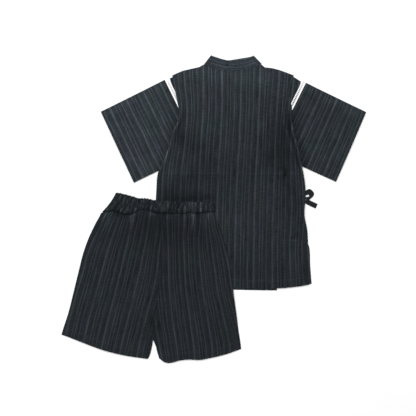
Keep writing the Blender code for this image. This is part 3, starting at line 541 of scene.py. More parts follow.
def bow_rise(across, down):
    """Height of what lies over the bow."""
    away = np.hypot(across - KNOT_ACROSS, down - KNOT_DOWN)
    return BOW_LIFT * cover(away, BOW_REACH, BOW_DRAPE)


def on_outer_front(across, down):
    return cover(across - front_free(down))


def fronts_height(across, down):
    """Height of what rests on the fronts: one layer, or two where they cross and where the vents open."""
    crossed = on_outer_front(across, down) * cover(-front_free(down) - across)
    vent = np.clip((down - VENT_START) / (VENT_OPEN - VENT_START), 0.0, 1.0)
    return LAYER * (2 - (1 - crossed) * (1 - vent))


def back_height(across, down):
    """Height of the underside of the back, without its creases."""
    roots = np.maximum(*(cover(sleeve_reach(across, down, s), LEDGE, SLEEVE_RUN_OUT) for s in SLEEVES))
    roots = roots * cover(53.0 - down, 12.0, 26.0)
    shoulder = cover(inside_back(across, down), 12.0, 30.0) * cover(down - 53.0)
    clear_of_shorts = cover(down - 235.0, 0.0, 30.0)
    folds = creased(across, down, BACK_RIDGES, 0.0)
    raised = np.maximum(np.maximum(SLEEVE_STACK * roots, LAYER * shoulder), bow_rise(across, down))
    return fronts_height(across, down) + raised + folds * clear_of_shorts


def back_relief(across, down):
    """Creases, hem and unevenness of the back, over its underside's height."""
    sides = inside_back(across, down)
    under_shorts = back_left(down) + 215.0 - across
    free = 1 - ease((down - 245.0) / 20.0) * ease(under_shorts / 25.0)
    height = creased(across, down, BACK_CREASES) * free * ease(sides / 9.0)
    height += 0.28 * (1 + uneven(across, down, 46.0, 1)) * free
    height += (2 * LAYER - fronts_height(across, down)) * 0.85 * free * ease((sides - 6.0) / 40.0)
    return height + hem_relief(back_hem(across) - down, across)


def hem_relief(above, along):
    """Relief of a turned and stitched hem: double cloth, the stitches' dip and a slight pucker."""
    doubled = 0.45 * ease((HEM_DEPTH + 1.5 - above) / 3.0)
    dip = -0.3 * bell(above - HEM_DEPTH + 0.6, 1.1)
    pucker = np.sin(along * 0.83) + np.sin(along * 0.57 + 1.3)
    return doubled + dip + 0.13 * (1 + 0.5 * pucker) * bell(above - 9.0, 9.0)


def arm_tuck(down):
    """Width turned under at the side of the back: wide over the sleeve's root, narrow at the side seam."""
    return mix(SIDE_TUCK, ARM_TUCK, cover(np.abs(down - 120.0), 50.0, 45.0))


def shorts_height(across, down):
    """Height of what the shorts rest on: the floor, or the top where they lie over it."""
    x, y = set_place(across, down, SHORTS_LIE)
    top_across, top_down = x - TOP_LIE[0], TOP_LIE[1] - y
    outside = np.maximum(back_left(top_down) - 5.0 - top_across, top_down - OUTER_HEM[-1].down)
    return SHORTS_REST * cover(outside, LEDGE, SHORTS_DRAPE)


def turned_over(wall=CLOTH, steps=6):
    """(inset, drop) of the points that turn a sheet over at its edge, from the lower layer to the upper."""
    turns = np.linspace(0.0, math.pi, steps + 1)
    return [(wall + BEND - BEND * math.sin(a), BEND + BEND * math.cos(a)) for a in turns]


def stripe_place(rows):
    """Cloth coordinates of points on a panel with these main stripes: across them, and along them."""
    downs = [row.down for row in rows]
    lines = [through(downs, places) for places in zip(*(row.places for row in rows))]

    def at(across, down):
        across, down = np.broadcast_arrays(across, down)
        places = [line(down) for line in lines]
        weft = (across - places[0]) / (places[1] - places[0])
        for k in range(1, len(places) - 1):
            here = k + (across - places[k]) / (places[k + 1] - places[k])
            weft = np.where(across > places[k], here, weft)
        return weft * STRIPE_REPEAT, down

    return at


body_stripes = stripe_place(BACK_LINES)
left_leg_stripes = stripe_place(LEFT_LEG_LINES)
right_leg_stripes = stripe_place(RIGHT_LEG_LINES)


def lay_cloth(mesh, laid):
    """Stores the cloth's own coordinates and tone, with its painted light and shade, on the points of a
    mesh.
    """
    cloth = mesh.attributes.new("cloth", "FLOAT_VECTOR", "POINT")
    cloth.data.foreach_set("vector", laid.ravel())


def add_object(name, mesh, finish):
    """An object of a mesh with one finish, in the scene."""
    mesh.materials.append(finish)
    made = bpy.data.objects.new(name, mesh)
    bpy.context.scene.collection.objects.link(made)
    return made


def cloth_piece(name, grid, lie, finish, stands_for, wall=CLOTH, flipped=False, holes=None, even=True):
    """A piece of cloth on a grid of points of its inner face, standing for one node of the frame."""
    rows, columns = grid.across.shape
    bm = bmesh.new()
    bmesh.ops.create_grid(bm, x_segments=columns - 1, y_segments=rows - 1, size=0.5)
    if flipped:
        bmesh.ops.reverse_faces(bm, faces=bm.faces)
    mesh = bpy.data.meshes.new(name)
    bm.to_mesh(mesh)
    bm.free()
    flat = np.empty(len(mesh.vertices) * 3)
    mesh.vertices.foreach_get("co", flat)
    flat = flat.reshape(-1, 3)
    column = np.rint((flat[:, 0] + 0.5) * (columns - 1)).astype(int)
    row = np.rint((0.5 - flat[:, 1]) * (rows - 1)).astype(int)
    x, y = set_place(grid.across[row, column], grid.down[row, column], lie)
    place = np.stack([x, y, grid.height[row, column]], axis=1) * MM
    mesh.vertices.foreach_set("co", place.ravel())
    lay_cloth(mesh, np.stack([g[row, column] for g in (grid.weft, grid.warp, grid.tone)], axis=1))
    if holes is not None:
        bm = bmesh.new()
        bm.from_mesh(mesh)
        bm.verts.ensure_lookup_table()
        gone = [f for f in bm.faces if holes([(row[v.index], column[v.index]) for v in f.verts])]
        bmesh.ops.delete(bm, geom=gone, context="FACES")
        bm.to_mesh(mesh)
        bm.free()
    mesh.shade_smooth()
    piece = add_object(name, mesh, finish)
    if holes is not None:
        rounded = piece.modifiers.new("rounded holes", "SUBSURF")
        rounded.levels = rounded.render_levels = 1
    solidify = piece.modifiers.new("cloth wall", "SOLIDIFY")
    solidify.thickness = wall * MM
    solidify.offset = 1.0
    solidify.use_even_offset = even
    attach(piece, "root")
    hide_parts(stands_for)
    return piece


def full_grid(across, down, height, weft, warp, tone=1.0):
    """A grid with each of its values given at every point."""
    shape = np.broadcast(across, down, height).shape
    values = (across, down, height, weft, warp, tone)
    return Grid(*(np.broadcast_to(np.asarray(value, float), shape).copy() for value in values))


def painted_shading(across, down, patches, fall=0.0):
    """Tone of the cloth with painted light and shade: soft patches, and painted shade a little darker to
    the right and, by a fall, to the hem.
    """
    tone = 1.0 - 0.0004 * across - fall * (down - 100.0)
    for p in patches:
        tone += p.tone * np.exp(-(((across - p.across) / p.wide) ** 2) - ((down - p.down) / p.long) ** 2)
    return tone


def edge_wear(distance):
    """Tone of cloth near an edge that wear has lightened: a little lighter on the last millimetre."""
    return 1 + 0.25 * np.exp(-np.abs(distance) / 1.2)


class Nodes:
    """Adds and joins the nodes of one material."""

    def __init__(self, name):
        self.material = bpy.data.materials.new(name)
        self.material.use_nodes = True
        self.tree = self.material.node_tree
        self.shader = self.tree.nodes["Principled BSDF"]

    def add(self, kind, *inputs, **settings):
        node = self.tree.nodes.new(kind)
        for key, value in settings.items():
            setattr(node, key, value)
        for socket, value in zip(node.inputs, inputs):
            self.feed(socket, value)
        return node

    def feed(self, socket, value):
        if value is None:
            return
        if isinstance(value, bpy.types.NodeSocket):
            self.tree.links.new(value, socket)
        else:
            socket.default_value = value

    def math(self, operation, *inputs):
        return self.add("ShaderNodeMath", *inputs, operation=operation).outputs[0]

    def noise(self, x, y, z, detail=2.0, roughness=0.5):
        """Noise from 0 to 1 at a point given by three numbers or sockets."""
        point = self.add("ShaderNodeCombineXYZ", x, y, z).outputs[0]
        node = self.add("ShaderNodeTexNoise", noise_dimensions="3D")
        self.feed(node.inputs["Vector"], point)
        node.inputs["Scale"].default_value = 1.0
        node.inputs["Detail"].default_value = detail
        node.inputs["Roughness"].default_value = roughness
        return node.outputs[0]

    def stretch(self, value, low, high, to_low, to_high):
        node = self.add("ShaderNodeMapRange", value, low, high, to_low, to_high)
        return node.outputs[0]

    def blend(self, factor, a, b, blend_type="MIX"):
        node = self.add("ShaderNodeMix", data_type="RGBA", blend_type=blend_type, clamp_factor=False)
        for name, value in (("Factor_Float", factor), ("A_Color", a), ("B_Color", b)):
            self.feed(next(s for s in node.inputs if s.identifier == name), value)
        return next(s for s in node.outputs if s.identifier == "Result_Color")

    def cloth(self):
        """The cloth's own coordinates: millimetres across and along the stripes, and its tone, which also
        carries painted light and shade.
        """
        source = self.add("ShaderNodeAttribute", attribute_name="cloth")
        self.weft, self.warp, tone = self.add("ShaderNodeSeparateXYZ", source.outputs["Vector"]).outputs
        return self.weft, self.warp, tone

    def shaded(self, colour, shade):
        """A colour made lighter or darker by one number."""
        grey = self.add("ShaderNodeCombineColor", shade, shade, shade).outputs[0]
        return self.blend(1.0, colour, grey, "MULTIPLY")

    def yarn(self, across, along, seed, detail, roughness=0.5):
        """Noise on the cloth, at one scale across its threads and another along them."""
        weft, warp = self.math("MULTIPLY", self.weft, across), self.math("MULTIPLY", self.warp, along)
        return self.noise(weft, warp, seed, detail, roughness)

    def bump(self, height, strength, distance):
        node = self.add("ShaderNodeBump")
        node.inputs["Strength"].default_value = strength
        node.inputs["Distance"].default_value = distance * MM
        self.feed(node.inputs["Height"], height)
        self.feed(self.shader.inputs["Normal"], node.outputs[0])

    def finish(self, colour, roughness, sheen, specular):
        self.feed(self.shader.inputs["Base Color"], colour)
        self.feed(self.shader.inputs["Roughness"], roughness)
        self.shader.inputs["Metallic"].default_value = 0.0
        self.shader.inputs["Specular IOR Level"].default_value = specular
        self.shader.inputs["Sheen Weight"].default_value = sheen
        self.shader.inputs["Sheen Roughness"].default_value = 0.45
        return self.material


def striped_cotton(colours):
    """Slub cotton: light stripes on a dark ground, both of uneven threads, in a plain weave."""
    n = Nodes("slub_striped_cotton")
    weft, warp, tone = n.cloth()
    wander = n.yarn(0.02, 0.012, 4.0, 1.0)
    shifted = n.math("ADD", weft, n.stretch(wander, 0.0, 1.0, -1.0, 1.0))
    place = n.math("DIVIDE", n.math("ADD", shifted, REPEATS * STRIPE_REPEAT - CHART_START), STRIPE_REPEAT)
    ramp = n.add("ShaderNodeValToRGB", n.math("FRACT", place))
    stops = ramp.color_ramp.elements
    stops[0].position, stops[0].color = 0.0, (0, 0, 0, 1)
    stops[1].position, stops[1].color = 1.0, (0, 0, 0, 1)
    for stripe in STRIPES:
        middle = (stripe.place - CHART_START) / STRIPE_REPEAT
        half = stripe.width / 2 / STRIPE_REPEAT
        for offset, share in ((-1.3, 0.0), (-0.6, 1.0), (0.6, 1.0), (1.3, 0.0)):
            level = share * stripe.strength
            stops.new(middle + offset * half).color = (level, level, level, 1)
    slubs = n.yarn(0.4, 0.02, 9.0, 2.0)
    fine = n.yarn(1.1, 0.03, 2.0, 3.0, 0.6)
    broad = n.yarn(0.16, 0.008, 12.0, 1.0)
    picks = n.yarn(0.06, 0.55, 6.0, 2.0)
    mottle = n.yarn(0.03, 0.03, 1.0, 2.0)
    light = n.math("MULTIPLY", ramp.outputs[0], n.stretch(slubs, 0.3, 0.7, 0.5, 1.55))
    breaks = n.yarn(0.3, 0.22, 21.0, 2.0)
    light = n.math("MULTIPLY", light, n.stretch(breaks, 0.3, 0.7, 0.65, 1.3))
    light = n.math("ADD", light, n.stretch(fine, 0.25, 0.75, -0.44, 0.52))
    light = n.math("ADD", light, n.stretch(broad, 0.3, 0.7, -0.1, 0.12))
    light = n.math("ADD", light, n.stretch(picks, 0.3, 0.7, -0.2, 0.18))
    light = n.math("MAXIMUM", light, -0.55)
    colour = n.blend(light, (*colours.ground, 1), (*colours.stripe, 1))
    dyes = [
        (15.0, 0.5, 0.02, (1.08, 0.96, 1.05), (0.92, 1.02, 1.0)),
        (18.0, 0.5, 0.02, (1.0, 1.02, 0.9), (1.0, 0.98, 1.08)),
        (31.0, 0.012, 0.016, (1.04, 0.98, 1.03), (0.96, 1.02, 0.99)),
    ]
    for seed, over, along, one, other in dyes:
        yarn = n.yarn(over, along, seed, 1.0)
        tint = n.blend(n.stretch(yarn, 0.35, 0.65, 0.0, 1.0), (*one, 1), (*other, 1))
        colour = n.blend(1.0, colour, tint, "MULTIPLY")
    shade = n.math("MULTIPLY", tone, n.stretch(mottle, 0.2, 0.8, 0.9, 1.1))
    colour = n.shaded(colour, shade)
    across_threads = n.math("SINE", n.math("MULTIPLY", weft, 7.6))
    weave = n.math("MULTIPLY", across_threads, n.math("SINE", n.math("MULTIPLY", warp, 7.1)))
    relief = n.math("ADD", n.math("MULTIPLY", weave, 0.25), n.math("MULTIPLY", fine, 1.6))
    n.bump(n.math("ADD", relief, picks), 0.35, 0.22)
    return n.finish(colour, n.stretch(fine, 0.2, 0.8, 0.95, 0.82), 0.04, 0.06)


def tie_tape(colours):
    """The ties' dark cotton: the same yarn without stripes, ribbed along."""
    n = Nodes("dark_tie_cotton")
    weft, warp, tone = n.cloth()
    fine = n.yarn(1.8, 0.2, 3.0, 3.0)
    shade = n.math("MULTIPLY", tone, n.stretch(fine, 0.2, 0.8, 0.65, 1.5))
    colour = n.shaded((*colours.tape, 1), shade)
    ribs = n.math("SINE", n.math("MULTIPLY", weft, 7.0))
    n.bump(n.math("ADD", fine, n.math("MULTIPLY", ribs, 0.3)), 0.4, 0.25)
    return n.finish(colour, n.stretch(fine, 0.2, 0.8, 0.95, 0.8), 0.04, 0.06)


def lace_cotton(colours):
    """White lace thread: wound bars with a faint twist."""
    n = Nodes("ladder_lace")
    weft, warp, tone = n.cloth()
    fine = n.yarn(2.4, 2.4, 3.0, 3.0)
    shade = n.math("MULTIPLY", tone, n.stretch(fine, 0.2, 0.8, 0.9, 1.05))
    colour = n.shaded((*colours.lace, 1), shade)
    twist = n.math("SINE", n.math("ADD", n.math("MULTIPLY", weft, 6.0), n.math("MULTIPLY", warp, 9.0)))
    n.bump(n.math("ADD", fine, n.math("MULTIPLY", twist, 0.4)), 0.4, 0.2)
    return n.finish(colour, n.stretch(fine, 0.2, 0.8, 0.85, 0.7), 0.2, 0.3)


def sewing_thread(colours):
    """The stitches' dark thread."""
    n = Nodes("sewing_thread")
    n.cloth()
    fine = n.yarn(3.0, 3.0, 5.0, 1.0)
    shade = n.stretch(fine, 0.2, 0.8, 0.8, 1.2)
    colour = n.shaded((*colours.thread, 1), shade)
    return n.finish(colour, n.stretch(fine, 0.2, 0.8, 0.7, 0.5), 0.1, 0.3)


FINISHES = {
    "slub_striped_cotton": striped_cotton,
    "dark_tie_cotton": tie_tape,
    "ladder_lace": lace_cotton,
    "sewing_thread": sewing_thread,
}


def finish_of(kind):
    """The material of a kind of cloth, made once."""
    return bpy.data.materials.get(kind) or FINISHES[kind](bpy.context.scene.jinbei_looks)


def side_by_side(*blocks):
    """Columns of several (across, down, height) blocks, joined into whole arrays."""
    whole = [np.broadcast_arrays(*block) for block in blocks]
    return [np.concatenate([block[i] for block in whole], axis=1) for i in range(3)]


def turned_edge(edge, inward, down, tuck, rise):
    """A side edge: the cloth turned under and the turn itself, from its lower layer up to its upper one."""
    under = edge + inward * (RIM + tuck * np.linspace(1.0, 0.0, 8)[:-1])
    turn = np.array(turned_over())
    over = edge + inward * turn[:, 0]
    fold_height = rise(edge + inward * RIM, down)
    return side_by_side((under, down, rise(under, down) - AIR), (over, down, fold_height - turn[:, 1]))


def line_above(grid, from_hem, depth, columns):
    """Points of a line on a panel, at one distance from its hem."""
    found = []
    for c in columns:
        away = from_hem[::-1, c]
        found.append([np.interp(depth, away, v[::-1, c]) for v in (grid.across, grid.down, grid.height)])
    return np.array(found)


# Rings along one stitch: how far each stands above the cloth, and its share of the thread's radius
STITCH_RINGS = [(-0.15, 0.25), (0.05, 0.8), (0.16, 1.0), (0.05, 0.8), (-0.15, 0.25)]


def stitch_piece(name, lines, lie, sizes, wall=CLOTH):
    """Rows of sewn stitches, each a short strand sunk a little in the cloth."""
    length, gap, radius = sizes.stitch_length / MM, sizes.stitch_gap / MM, sizes.thread_width / MM / 2
    verts, faces, laid = [], [], []
    for line in lines:
        x, y = set_place(line[:, 0], line[:, 1], lie)
        path = np.stack([x, y, line[:, 2] + wall], axis=1)
        run = run_along(np.linalg.norm(np.diff(path, axis=0), axis=1))
        for first in np.arange(gap, run[-1] - length, length + gap):
            places = first + length * np.array([0.0, 0.12, 0.5, 0.88, 1.0])
            spine = np.stack([np.interp(places, run, path[:, i]) for i in range(3)], axis=1)
            along = spine[-1] - spine[0]
            side = np.array([-along[1], along[0], 0.0]) / np.hypot(along[0], along[1])
            start = len(verts)
            for centre, (lift, size) in zip(spine, STITCH_RINGS):
                for angle in np.arange(6) * math.pi / 3:
                    out = side * math.cos(angle) + np.array([0.0, 0.0, math.sin(angle)])
                    verts.append(centre + out * radius * size + np.array([0.0, 0.0, lift]))
                    laid.append((angle, first, 1.0))
            for ring in range(4):
                for k in range(6):
                    a, b = start + ring * 6 + k, start + ring * 6 + (k + 1) % 6
                    faces.append((a, b, b + 6, a + 6))
            faces.append(tuple(start + k for k in reversed(range(6))))
            faces.append(tuple(start + 24 + k for k in range(6)))
    mesh = bpy.data.meshes.new(name)
    mesh.from_pydata([tuple(v * MM) for v in verts], [], faces)
    lay_cloth(mesh, np.array(laid))
    mesh.shade_smooth()
    piece = add_object(name, mesh, finish_of("sewing_thread"))
    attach(piece, "root")
    return piece


def make_back(sizes):
    """The back: one panel from hem to shoulders, with both side edges turned under."""
    step = sizes.mesh_step / MM
    shoulder = straight(SHOULDERS, "across", "down")
    left_tip, right_tip = SHOULDERS[0].across + RIM, SHOULDERS[-1].across - RIM
    top = [spaced(left_tip, -NECK_HALF, step * 0.85)[1:-1]]
    top += [spaced(-NECK_HALF, NECK_HALF, step * 0.85), spaced(NECK_HALF, right_tip, step * 0.85)[1:-1]]
    top = np.concatenate(top)
    v = levels(462.0, step)[:, None]
    left_down = mix(SHOULDERS[0].down, BACK_HEM[0].down, v)
    right_down = mix(SHOULDERS[-1].down, BACK_HEM[-1].down, v)
    left, right = back_left(left_down), back_right(right_down)

    def rise(across, down):
        return back_height(across, down) + back_relief(across, down)

    w = (top - left_tip) / (right_tip - left_tip)
    start = np.where(np.abs(top) < NECK_HALF, neckline(top), shoulder(top))
    down = mix(start, back_hem(mix(BACK_HEM[0].across, BACK_HEM[-1].across, w)), v)
    across = mix(left + RIM, right - RIM, w)
    left_edge = turned_edge(left, 1, left_down, arm_tuck(left_down), rise)
    right_edge = [a[:, ::-1] for a in turned_edge(right, -1, right_down, arm_tuck(right_down), rise)]
    across, down, height = side_by_side(left_edge, (across, down, rise(across, down)), right_edge)
    from_hem = back_hem(across) - down
    sides = inside_back(across, down)
    beside_sleeve = cover(np.abs(down - 148.0), 48.0, 34.0)
    # Painted highlight on the side fold beside the sleeve with painted shade just inside it, and on the
    # right a further painted highlight on the ridge beside the fold
    painted_fold_light = 0.55 * bell(sides - 1.2, 2.2) - 0.3 * bell(sides - 8.0, 4.5)
    painted_fold_light += 0.3 * bell(sides - 15.0 + 0.05 * (down - 148.0), 2.0) * (across > 0)
    tone_factor = edge_wear(from_hem) + edge_wear(sides) - 1
    tone = painted_shading(across, down, BACK_SHADING_PATCHES, fall=0.0008) * tone_factor + painted_fold_light * beside_sleeve
    # Painted shade along the press line, with a painted highlight just above it
    press = 0.06 * bell(down - PRESS_LINE, 1.5) - 0.1 * bell(down - PRESS_LINE + 3.5, 2.0)
    tone -= press * ease(sides / 9.0)
    tone = np.maximum(tone, 0.2)
    grid = full_grid(across, down, height, *body_stripes(across, down), tone)
    piece = cloth_piece("back_cloth", grid, TOP_LIE, finish_of("slub_striped_cotton"), "top_back")
    columns = range(left_edge[0].shape[1] + 2, across.shape[1] - right_edge[0].shape[1] - 2)
    depth = sizes.hem_depth / MM
    lines = [line_above(grid, from_hem, d, columns) for d in (depth, depth + 1.6)]
    vent = [r for r in range(across.shape[0]) if v[r, 0] > 0.8 and from_hem[r, columns[0]] > depth]
    for at in (columns[0] + 3, columns[-1] - 3):
        lines.append(np.stack([grid.across[vent, at], grid.down[vent, at], grid.height[vent, at]], axis=1))
    stitches = stitch_piece("back_stitches", lines, TOP_LIE, sizes)


def make_front(side):
    """A front: the outer one lies on the floor, and the inner one crosses over it."""
    outer = side == "outer"
    hem = curve(OUTER_HEM if outer else INNER_HEM, "across", "down")
    hem_seam = OUTER_HEM[-1] if outer else INNER_HEM[0]
    hem_side = OUTER_HEM[0] if outer else INNER_HEM[-1]
    shoulder = straight(OUTER_SHOULDER if outer else INNER_SHOULDER, "across", "down")
    side_tip = OUTER_SHOULDER[0] if outer else INNER_SHOULDER[-1]
    v = levels(475.0, COARSE)[:, None]
    w = np.linspace(0.0, 1.0, 50)
    if not outer:
        w = w[::-1]
    start = shoulder(mix(side_tip.across, -NECK_HALF if outer else NECK_HALF, w))
    down = mix(start, hem(mix(hem_side.across, hem_seam.across, w)), v)
    seam = front_seam(mix(FOLD_START.seam_down, FRONT_BAND[0].seam_down, v)) - SEAM * 1.2
    if outer:
        across, height = mix(front_left(down), seam, w), 0.0
    else:
        across = mix(front_right(down), -seam, w)
        height = LAYER * on_outer_front(across, down) + bow_rise(across, down)
    tone = edge_wear(hem(across) - down)
    grid = full_grid(across, down, height, *body_stripes(across + 9.0, down), tone)
    node = "top_front_left" if outer else "top_front_right"
    piece = cloth_piece(f"{side}_front_cloth", grid, TOP_LIE, finish_of("slub_striped_cotton"), node)


def collar_relief(width, across, share):
    """Relief of the band behind the neck: a soft crown, a lengthwise crease and a pinch."""
    crown = 0.5 * np.sin(np.pi * np.clip(width / COLLAR_WIDTH, 0.0, 1.0))
    crease = -0.65 * bell(width - COLLAR_CREASE, 1.1) * (0.75 + 0.25 * np.sin(across * 0.11))
    pinch = 1.1 * bell(across + 8.5, 2.4) - 0.6 * bell(across + 12.0, 1.6)
    pinch = pinch * ease((width - 8.0) / 8.0)
    wave = 0.35 * uneven(across, width, 30.0, 4)
    return (crown + crease + pinch + wave) * share


def make_collar(sizes):
    """The collar: one band up the outer front, folded at the neck, round it and down the inner front."""
    neck_top = curve(NECK_TOP, "across", "down")
    free_across = curve(BAND_ROWS, "seam_down", "free_across")
    free_down = curve(BAND_ROWS, "seam_down", "free_down")

    def band(s):
        return np.stack([front_seam(s), s, free_across(s), free_down(s)], axis=1)

    def fold(inward):
        """Sections that turn the band over beside the neck, from the floor up to the back's edge."""
        corner = inward * -(NECK_HALF + FOLD_OUT)
        radius = (back_height(corner, NECK_CORNER) - CLOTH) / 2
        free = NECK_TOP[0] if inward > 0 else NECK_TOP[-1]
        a = np.linspace(0.0, math.pi, 11)
        shift = inward * (CLOTH + radius * (1 - np.sin(a)))
        level = np.full_like(a, NECK_CORNER - 2 * SEAM)
        edges = [corner + shift, level, free.across + shift, np.full_like(a, free.down)]
        return np.stack([*edges, CLOTH + radius * (1 - np.cos(a)), ease(a / math.pi * 2 - 1)], axis=1)

    def joined(a, b, count):
        """Sections evenly between two."""
        return mix(a, b, np.linspace(0.0, 1.0, count + 2)[1:-1, None])

    s = spaced(FRONT_BAND[0].seam_down, FRONT_BAND[-1].seam_down, 3.0)
    first = np.column_stack([band(s), np.full_like(s, CLOTH), np.zeros_like(s)])
    left_fold, right_fold = fold(1), fold(-1)[::-1]
    across = spaced(-NECK_HALF, NECK_HALF, sizes.mesh_step / MM)[1:-1]
    free = mix(NECK_TOP[0].across, NECK_TOP[-1].across, (across + NECK_HALF) / (2 * NECK_HALF))
    down = neckline(across)
    rise = back_height(across, down)
    neck = [across, down - SEAM * 1.2, free, neck_top(free), rise, np.ones_like(across)]
    shortening = (INNER_HEM[0].down - NECK_CORNER) / (FRONT_BAND[0].seam_down - NECK_CORNER)
    last = band(s[::-1])
    seam_down = NECK_CORNER + (last[:, 1] - NECK_CORNER) * shortening
    height = CLOTH + LAYER * on_outer_front(-(last[:, 0] + last[:, 2]) / 2, seam_down)
    mirrored = [-last[:, 0], seam_down, -last[:, 2], NECK_CORNER + (last[:, 3] - NECK_CORNER) * shortening]
    last = np.stack([*mirrored, height, np.zeros_like(height)], axis=1)
    up, down_again = joined(first[-1], left_fold[0], 7), joined(right_fold[-1], last[0], 7)
    sections = np.concatenate([first, up, left_fold, np.stack(neck, axis=1), right_fold, down_again, last])
    t = np.linspace(0.0, 1.0, 14)
    a, d = (mix(sections[:, i, None], sections[:, i + 2, None], t) for i in (0, 1))
    width = np.hypot(sections[:, 2] - sections[:, 0], sections[:, 3] - sections[:, 1])[:, None] * t
    middle = (sections[:, :2] + sections[:, 2:4]) / 2
    run = run_along(np.linalg.norm(np.diff(middle, axis=0), axis=1))[:, None]
    height = sections[:, 4, None] + collar_relief(width, a, sections[:, 5, None])
    behind = sections[:, 5, None]
    # Painted light behind the neck: lighter overall, painted highlights on both sides of the crease,
    # painted shade in the crease, along the seam and at the pinch, over a random unevenness
    folds = 1.45 - 0.95 * bell(width - COLLAR_CREASE, 1.4) + 1.0 * bell(width - 14.5, 2.2)
    folds += 1.1 * bell(width - 7.0, 1.6) + 0.45 * uneven(a, width * 3.0, 14.0, 7)
    folds -= 0.5 * bell(width, 1.6) + 0.9 * bell(a + 12.0, 2.0) * (width > 9.0)
    tone = edge_wear(width - COLLAR_WIDTH) * mix(np.ones_like(run), folds, behind)
    grid = full_grid(a, d, height, width + 17.0, run, tone)
    piece = cloth_piece("collar_cloth", grid, TOP_LIE, finish_of("slub_striped_cotton"), "collar")


def folded_ring(depth, step, coarse):
    """Columns round a ring pressed flat: (inset from its fold, drop, 1 where upper) up, over and down."""
    turn = np.array(turned_over())
    upper, lower = spaced(RIM, depth, step)[1:], spaced(RIM, depth, coarse)[1:]
    inset = np.concatenate([lower[::-1], turn[:, 0], upper])
    drop = np.concatenate([np.full(len(lower), AIR), turn[:, 1], np.zeros(len(upper))])
    above = np.concatenate([np.zeros(len(lower)), turn[:, 1] < BEND, np.ones(len(upper))])
    return inset, drop, above


def make_sleeve(sleeve, sizes):
    """A sleeve: one piece folded along its upper edge, open at the cuff and at the root."""
    left = sleeve.side == "left"
    depth = root_run(sleeve)[2]
    inset, drop, above = folded_ring(depth, sizes.mesh_step / MM, COARSE)
    s = levels(SLEEVE_LENGTH, sizes.mesh_step / MM)[:, None]
    t = inset / depth
    root_across = mix(sleeve.root_top.across, sleeve.root_bottom.across, t)
    cuff_across = mix(sleeve.cuff_top.across, sleeve.cuff_bottom.across, t)
    across = mix(root_across, cuff_across, s)
    root_down = mix(sleeve.root_top.down, sleeve.root_bottom.down, t)
    down = mix(root_down, mix(sleeve.cuff_top.down, sleeve.cuff_bottom.down, t), s)
    outside = outside_back(across, down, left)
    lying = cover(outside)
    x, y = s * SLEEVE_LENGTH, inset + 0.0 * s
    puff = SLEEVE_PUFF * (1 - lying) * np.sin(np.pi * t)
    creases = creased(x, y, LEFT_SLEEVE_CREASES if left else RIGHT_SLEEVE_CREASES)
    soft = 0.35 * (1 + uneven(x, y, 55.0, 2 if left else 3))
    free = ease(outside / 16.0) * ease(x / 8.0) * ease(inset / 8.0) * ease((depth - inset) / 10.0)
    relief = (creases + soft) * free + hem_relief(SLEEVE_LENGTH - x, y) * ease(outside / 16.0)
    height = fronts_height(across, down) * lying + LAYER - drop + (puff + relief) * above
    main = 12.5 - 1.4 * t - x if left else (x - 2.1 - 3.2 * t) * 1.035
    # Painted light: the left sleeve lighter than the right, painted shade near the body's edge and a
    # painted highlight a little inside the folded upper edge, over a random unevenness of tone
    tone_factor = (1.32 if left else 0.98) - 0.12 * uneven(x, y, 40.0, 8)
    tone_factor -= 0.46 * bell(outside, 15.0)
    tone_factor += 0.22 * bell(inset - 9.0, 9.0)
    tone = (edge_wear(SLEEVE_LENGTH - x) + edge_wear(inset) - 1) * tone_factor
    grid = full_grid(across, down, height, main, y, tone)
    node = f"sleeve_{sleeve.side}"
    finish = finish_of("slub_striped_cotton")
    piece = cloth_piece(f"{node}_cloth", grid, TOP_LIE, finish, node, flipped=not left)
    columns = [c for c in range(len(inset)) if above[c] and inset[c] > 3]
    hem = sizes.hem_depth / MM
    lines = [line_above(grid, np.broadcast_to(SLEEVE_LENGTH - x, across.shape), hem, columns)]
    stitches = stitch_piece(f"{node}_stitches", lines, TOP_LIE, sizes)


def make_lace(sleeve, sizes):
    """The ladder lace between a sleeve's root and the body: a narrow ring, flat like the sleeve."""
    inward = 1 if sleeve.side == "left" else -1
    run_across, run_down, depth = root_run(sleeve)
    period = sizes.lace_step / MM
    turn = np.array(turned_over(LACE_WALL + 0.1))
    flat = np.arange(turn[0, 0], depth, period / 4)[1:]
    inset = np.concatenate([flat[::-1], turn[:, 0], flat])
    drop = np.concatenate([np.full(len(flat), AIR), turn[:, 1], np.zeros(len(flat))])
    hole_from = LADDER - sizes.lace_hole / MM / 2
    hole_to = LADDER + sizes.lace_hole / MM / 2
    rails = [SEAM, 1.1, 2.2, hole_from, LADDER, hole_to, LACE_WIDTH - 1.4, LACE_WIDTH - 0.7, LACE_WIDTH]
    rails = np.array(rails)[:, None]
    across = sleeve.root_top.across + (run_across * inset + inward * run_down * rails) / depth
    down = sleeve.root_top.down + (run_down * inset - inward * run_across * rails) / depth
    outside = outside_back(across, down, inward > 0)
    height = fronts_height(across, down) * cover(outside) + LAYER - drop
    dotted = np.clip(0.9 - 1.4 * np.cos(2 * np.pi * inset / period), 0.0, 1.0)
    dotted = dotted * (0.35 + 0.65 * ease(inset / 40.0))
    dark = (0.5 if inward > 0 else 0.99) * np.exp(-(((rails - LADDER) / 1.9) ** 8))
    grid = full_grid(across, down, height, rails, inset, 1 - dark * dotted)

    def is_hole(corners):
        row, column = min(c[0] for c in corners), min(c[1] for c in corners)
        if row != HOLE_ROW:
            return False
        place = (inset[column] + inset[min(column + 1, len(inset) - 1)]) / 2
        return place > 4.0 and (place - turn[0, 0]) / period % 1.0 > 0.5

    node = f"lace_{sleeve.side}"
    finish = finish_of("ladder_lace")
    piece = cloth_piece(f"{node}_mesh", grid, TOP_LIE, finish, node, LACE_WALL, inward > 0, is_hole)


